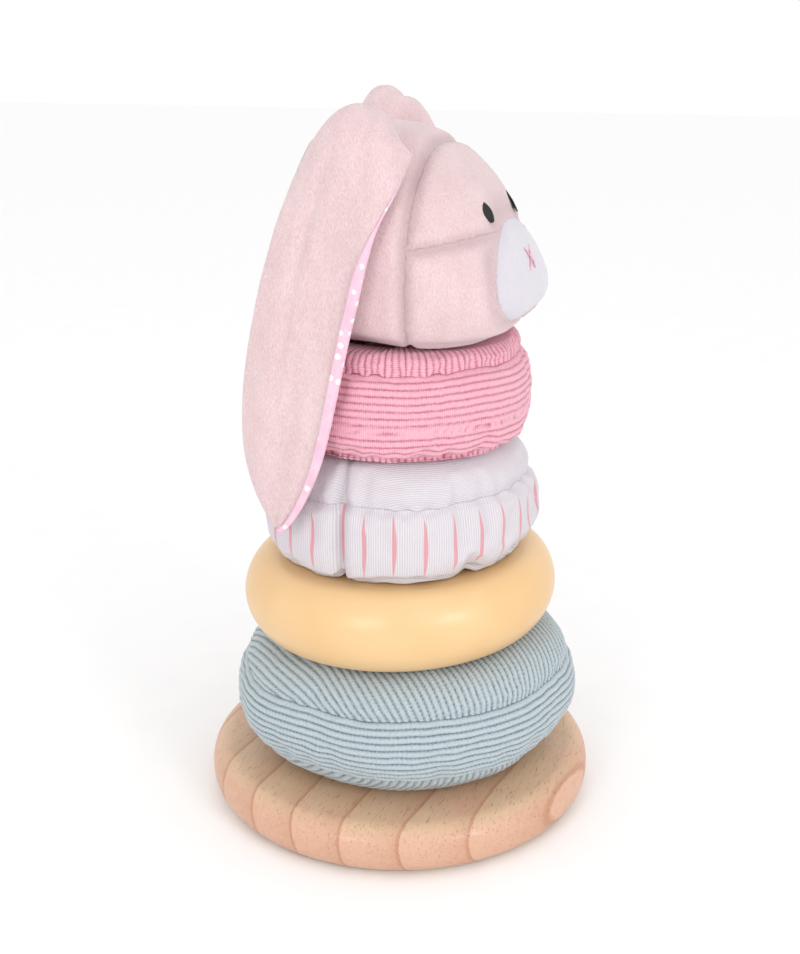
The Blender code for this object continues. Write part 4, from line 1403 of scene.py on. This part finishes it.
class TOY_OT_white_ring(FabricRingOperator, bpy.types.Operator):
    """Stuffed ring in fine white cloth with printed strokes"""
    bl_idname = "toy.white_ring"
    bl_label = "White ring"

    def execute(self, context):
        ring = RINGS["white"]
        seam = WHITE_SEAM

        def dents(turn, angle):
            side = np.clip(np.cos(angle), 0.0, 1.0)
            valley = bump(turn_between(turn, seam), 0.0, 0.035) \
                + bump(turn_between(turn, seam + math.pi), 0.0, 0.035)
            low = np.clip(-np.sin(angle), 0.0, 1.0)
            pucker = bump(turn_between(turn, WHITE_PUCKER), 0.0, 0.09) * low
            lobes = np.abs(np.sin(0.5 * turn_between(turn, seam))) ** 0.5
            out = -0.0026 * valley * side - 0.0014 * pucker * side + 0.0009 * lobes * side
            up = 0.0016 * valley * low + 0.0010 * pucker - 0.0010 * valley * np.clip(np.sin(angle), 0, 1)
            return out + waves(turn, ((0.0003, 5, 1.0), (0.0002, 9, 0.3))) * side, up

        shape = cover_shape(ring, dents)
        swell = simulate_cover(ring, shape)
        printed = woven_finish("printed white weave", True)
        plain = woven_finish("white weave", False)
        reliefs = {"band": plain_cloth(ring), "top_panel": crossed_cloth(),
                   "bottom_panel": crossed_cloth(), "sleeve": plain_cloth(ring)}
        seams = (lambda a: waves(a, ((0.03, 4, 0.7), (0.02, 9, 2.0))),
                 lambda a: waves(a, ((0.015, 3, 1.2), (0.010, 8, 0.5))))
        counts = {"band": (360, 80), "top_panel": (360, 80), "bottom_panel": (240, 50),
                  "sleeve": (120, 20)}
        finishes = {"band": printed, "top_panel": plain, "bottom_panel": plain, "sleeve": plain}
        self.panels(ring, shape, swell, finishes, "white_print", reliefs, seams, counts, 0.75)
        return {"FINISHED"}


class TOY_OT_pink_ring(FabricRingOperator, bpy.types.Operator):
    """Stuffed ring in pink rib knit"""
    bl_idname = "toy.pink_ring"
    bl_label = "Pink ring"

    def execute(self, context):
        ring = RINGS["pink"]
        depth = sizes().rib_depth

        def dents(turn, angle):
            out = waves(turn, ((0.0004, 3, 2.0), (0.0003, 6, 0.7)))
            return out * np.clip(np.cos(angle), 0.0, 1.0), np.zeros_like(turn + angle)

        shape = cover_shape(ring, dents)
        swell = simulate_cover(ring, shape)
        knit = knit_finish("pink rib knit", colours().pink, colours().pink_shade_and_fuzz,
                           stitch=0.0006, slant=0.2, depth=0.00012, contrast=0.24)
        reliefs = {"band": side_ribs(ring, 13, 0.55 * depth),
                   "top_panel": radial_ribs(sizes().radial_ribs, 0.5 * depth),
                   "bottom_panel": radial_ribs(sizes().radial_ribs, 0.5 * depth),
                   "sleeve": radial_ribs(SLEEVE_RIBS, 0.5 * depth)}
        seams = (lambda a: waves(a, ((0.03, 5, 0.7), (0.02, 9, 2.0))),
                 lambda a: waves(a, ((0.03, 3, 1.2), (0.02, 8, 0.5))))
        counts = {"band": (300, 160), "top_panel": (880, 60), "bottom_panel": (880, 60),
                  "sleeve": (144, 20)}
        self.panels(ring, shape, swell, dict.fromkeys(reliefs, knit), "pink_knit", reliefs, seams,
                    counts, 0.85)
        return {"FINISHED"}


class TOY_OT_head(BuildOperator, bpy.types.Operator):
    """Plush head sewn from panels, with the socket for the post"""
    bl_idname = "toy.head"
    bl_label = "Head"

    def execute(self, context):
        planes = head_planes()
        plush = plush_finish("blush plush", colours().plush, colours().plush_deep)
        velour = plush_finish("white velour", colours().velour, colours().velour_deep, 0.5, 0.00015)
        ball = head_ball()
        front = (planes["coronal"], 1.0)
        no_muzzle = (planes["muzzle"], -1.0)
        above, below = (planes["cheek"], 1.0), (planes["cheek"], -1.0)
        over = (planes["under"], -1.0)
        rows = (
            ("head_back_plush", "head_back", [(planes["coronal"], -1.0), over], plush, "plush"),
            ("head_forehead_plush", "head_forehead", [front, no_muzzle, above], plush, "plush"),
            ("head_cheek_left_plush", "head_cheek_left",
             [front, no_muzzle, below, over, (planes["middle"], 1.0)], plush, "plush"),
            ("head_cheek_right_plush", "head_cheek_right",
             [front, no_muzzle, below, over, (planes["middle"], -1.0)], plush, "plush"),
            ("head_muzzle_velour", "head_muzzle", [(planes["muzzle"], 1.0)], velour, "white_velour"),
            ("head_underside_plush", "head_underside", [(planes["under"], 1.0)], plush, "plush"),
        )
        for name, node, keeps, material, slot in rows:
            head_panel(name, node, keeps, material, ball)
        ball.free()
        wall = SOCKET_TOP - SKIN
        profile = [(0.0, wall), (HOLE_RADIUS, wall), (HOLE_RADIUS, HEAD_BOTTOM),
                   (SOCKET_OUTSIDE, HEAD_BOTTOM), (SOCKET_OUTSIDE, SOCKET_TOP), (0.0, SOCKET_TOP)]
        cotton = cotton_finish("socket cotton", (0.80, 0.72, 0.72), (0.70, 0.60, 0.60))
        socket = new_piece("head_socket_cotton", mesh_of(turned(profile, 96)), cotton)
        socket.data.set_sharp_from_angle(angle=math.radians(50.0))
        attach(socket, "head")
        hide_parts("head_socket")
        self.build_filling()
        return {"FINISHED"}

    def build_filling(self):
        bm = bmesh.new()
        bmesh.ops.create_uvsphere(bm, u_segments=64, v_segments=40, radius=1.0)
        mesh = mesh_of(bm)
        directions = coordinates(mesh)
        directions /= np.linalg.norm(directions, axis=1, keepdims=True)
        centre = np.array((0.0, 0.0, HEAD_BOTTOM + 0.5 * HEAD_HEIGHT))
        points = centre + (head_points(directions) - centre) * HEAD_FILLING_SHARE
        hole = SOCKET_OUTSIDE + GAP
        across = np.hypot(points[:, 0], points[:, 1])
        inside = (across < hole) & (points[:, 2] < centre[2])
        points[inside, 2] = SOCKET_TOP + GAP
        set_coordinates(mesh, points)
        bm = bmesh.new()
        bm.from_mesh(mesh)
        bpy.data.meshes.remove(mesh)
        face_out(bm)
        piece = new_piece("head_filling", mesh_of(bm), filling_finish())
        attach(piece, "head")
        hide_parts("head_stuffing")


class TOY_OT_face(BuildOperator, bpy.types.Operator):
    """Embroidered eyes and nose"""
    bl_idname = "toy.face"
    bl_label = "Eyes and nose"

    def execute(self, context):
        black = thread_finish("black embroidery thread", colours().eye, (0.004, 0.004, 0.005), 0.65)
        rose = thread_finish("pink embroidery thread", colours().nose, (0.70, 0.30, 0.40), 0.6)
        for node, side in (("left_eye", 1), ("right_eye", -1)):
            frame_there = face_frame(side * EYE_SIDE, EYE_RISE)
            self.add(f"{node}_thread", node, self.eye(side), frame_there, black, "eye_thread")
        frame_there = face_frame(0.0, NOSE_RISE)
        self.add("nose_thread", "nose_stitch", self.nose(), frame_there, rose, "nose_thread")
        return {"FINISHED"}

    def add(self, name, node, bm, matrix, material, slot):
        bmesh.ops.transform(bm, verts=bm.verts, matrix=matrix)
        face_out(bm)
        piece = new_piece(name, mesh_of(bm), material)
        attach(piece, "head")
        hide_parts(node)

    def eye(self, mirror):
        """Upright satin stitches side by side in an almond, pointed above and blunt below."""
        bm = bmesh.new()
        stitches, half_width, half_height, thread = 15, 0.0019, 0.0036, 0.00019
        for index in range(stitches):
            share = -1.0 + 2.0 * (index + 0.5) / stitches
            side = share * mirror + 0.12
            top = half_height * (1.0 - 0.95 * abs(side / 1.12) ** 1.3)
            bottom = -half_height * (1.0 - 0.75 * abs(side / 1.12) ** 2.0)
            place = share * half_width
            thread_run(bm, (place, 0.0004, bottom), (place, 0.0004, top), thread, 0.0003)
        return bm

    def nose(self):
        """Two crossed stitches, each of two threads."""
        bm = bmesh.new()
        for side in (1, -1):
            for index in (-0.5, 0.5):
                shift = index * 0.00030
                lift = 0.0004 if side > 0 else 0.0006
                thread_run(bm, (-side * 0.0027 + shift, 0.0, -0.0032),
                           (side * 0.0027 + shift, 0.0, 0.0032), 0.00018, lift)
        return bm


class TOY_OT_ears(BuildOperator, bpy.types.Operator):
    """Hanging ears, plush outside and dotted inside"""
    bl_idname = "toy.ears"
    bl_label = "Ears"

    def execute(self, context):
        plush = plush_finish("ear plush", colours().plush, colours().plush_deep)
        lining = lining_finish()
        for side, mirror in (("left", 1.0), ("right", -1.0)):
            body, shift = f"{side}_ear", EAR_SHIFTS[side]
            build_ear_sheet(f"{side}_ear_plush", mirror, False, plush,
                            (f"{side}_ear_outer", f"{side}_ear_root"), shift)
            build_ear_sheet(f"{side}_ear_lining_cloth", mirror, True, lining,
                            (f"{side}_ear_lining",), shift)
        return {"FINISHED"}


class TOY_OT_stage(BuildOperator, bpy.types.Operator):
    """Floor, lights and camera"""
    bl_idname = "toy.stage"
    bl_label = "Stage"

    def execute(self, context):
        scene = context.scene
        scene.view_settings.view_transform = "Standard"
        bm = bmesh.new()
        bmesh.ops.create_grid(bm, x_segments=8, y_segments=8, size=4.0)
        bmesh.ops.translate(bm, verts=bm.verts, vec=(0.0, 0.0, -0.0002))
        paper, graph, shader = new_material("backdrop paper", 0.9)
        grain = graph.noise(graph.place(), 60.0, 2.0)
        tone = graph.blend(grain, (0.90, 0.90, 0.90), (0.93, 0.93, 0.93))
        graph.wire(tone, shader.inputs["Base Color"])
        floor = new_piece("floor", mesh_of(bm), paper)
        world = bpy.data.worlds.new("studio")
        world.use_nodes = True
        background = world.node_tree.nodes["Background"]
        background.inputs["Color"].default_value = (1.0, 1.0, 1.0, 1.0)
        background.inputs["Strength"].default_value = 1.0
        scene.world = world
        self.sun("overhead", (-0.40, -0.30, 0.90), 60.0, 0.22)
        for name, azimuth, power in SOFTBOXES:
            self.softbox(name, azimuth, SOFTBOX_ELEVATION, SOFTBOX_SIZE, power)
        self.camera(scene)
        return {"FINISHED"}

    def softbox(self, name, azimuth, elevation, size, power):
        data = bpy.data.lights.new(name, "AREA")
        data.shape = "SQUARE"
        data.size = size
        data.energy = power
        azimuth, elevation, reach = math.radians(azimuth), math.radians(elevation), SOFTBOX_REACH
        place = Vector((math.sin(azimuth) * math.cos(elevation),
                        -math.cos(azimuth) * math.cos(elevation), math.sin(elevation))) * reach
        self.aimed(name, data, place + Vector((0.0, 0.0, 0.06)))

    def sun(self, name, place, angle, power):
        data = bpy.data.lights.new(name, "SUN")
        data.angle = math.radians(angle)
        data.energy = power
        self.aimed(name, data, Vector(place))

    def aimed(self, name, data, place):
        lamp = bpy.data.objects.new(name, data)
        lamp.location = place
        aim = Vector((0.0, 0.0, LIGHT_AIM)) - place
        lamp.rotation_euler = aim.to_track_quat("-Z", "Y").to_euler()
        bpy.context.scene.collection.objects.link(lamp)

    def camera(self, scene):
        azimuth, elevation = CAMERA_AZIMUTH, CAMERA_ELEVATION
        target = Vector((0.0, 0.0, CAMERA_AIM))
        away = Vector((math.sin(azimuth) * math.cos(elevation), -math.cos(azimuth) * math.cos(elevation),
                       math.sin(elevation)))
        data = bpy.data.cameras.new("camera")
        data.lens = sizes().lens
        data.clip_start = 0.01
        camera = bpy.data.objects.new("camera", data)
        camera.location = target + away * sizes().distance
        camera.rotation_euler = (-away).to_track_quat("-Z", "Y").to_euler()
        scene.collection.objects.link(camera)
        scene.camera = camera


OPERATORS = (TOY_OT_stage, TOY_OT_base, TOY_OT_wooden_ring, TOY_OT_blue_ring, TOY_OT_white_ring,
             TOY_OT_pink_ring, TOY_OT_head, TOY_OT_face, TOY_OT_ears)


class TOY_PT_panel(bpy.types.Panel):
    """Lists the toy's pieces"""
    bl_label = "Stacking ring toy"
    bl_idname = "TOY_PT_panel"
    bl_space_type = "VIEW_3D"
    bl_region_type = "UI"
    bl_category = "Toy"

    def draw(self, context):
        for operator in OPERATORS:
            self.layout.operator(operator.bl_idname)
        for group in (context.scene.toy_sizes, context.scene.toy_colours):
            box = self.layout.box()
            for key in group.__annotations__:
                box.prop(group, key)


CLASSES = (ToyColours, ToySizes, *OPERATORS, TOY_PT_panel)


def register():
    for kind in CLASSES:
        bpy.utils.register_class(kind)
    bpy.types.Scene.toy_colours = bpy.props.PointerProperty(type=ToyColours)
    bpy.types.Scene.toy_sizes = bpy.props.PointerProperty(type=ToySizes)


def unregister():
    del bpy.types.Scene.toy_sizes
    del bpy.types.Scene.toy_colours
    for kind in reversed(CLASSES):
        bpy.utils.unregister_class(kind)


def main():
    register()
    for operator in OPERATORS:
        group, name = operator.bl_idname.split(".")
        getattr(getattr(bpy.ops, group), name)()


if __name__ == "__main__":
    main()
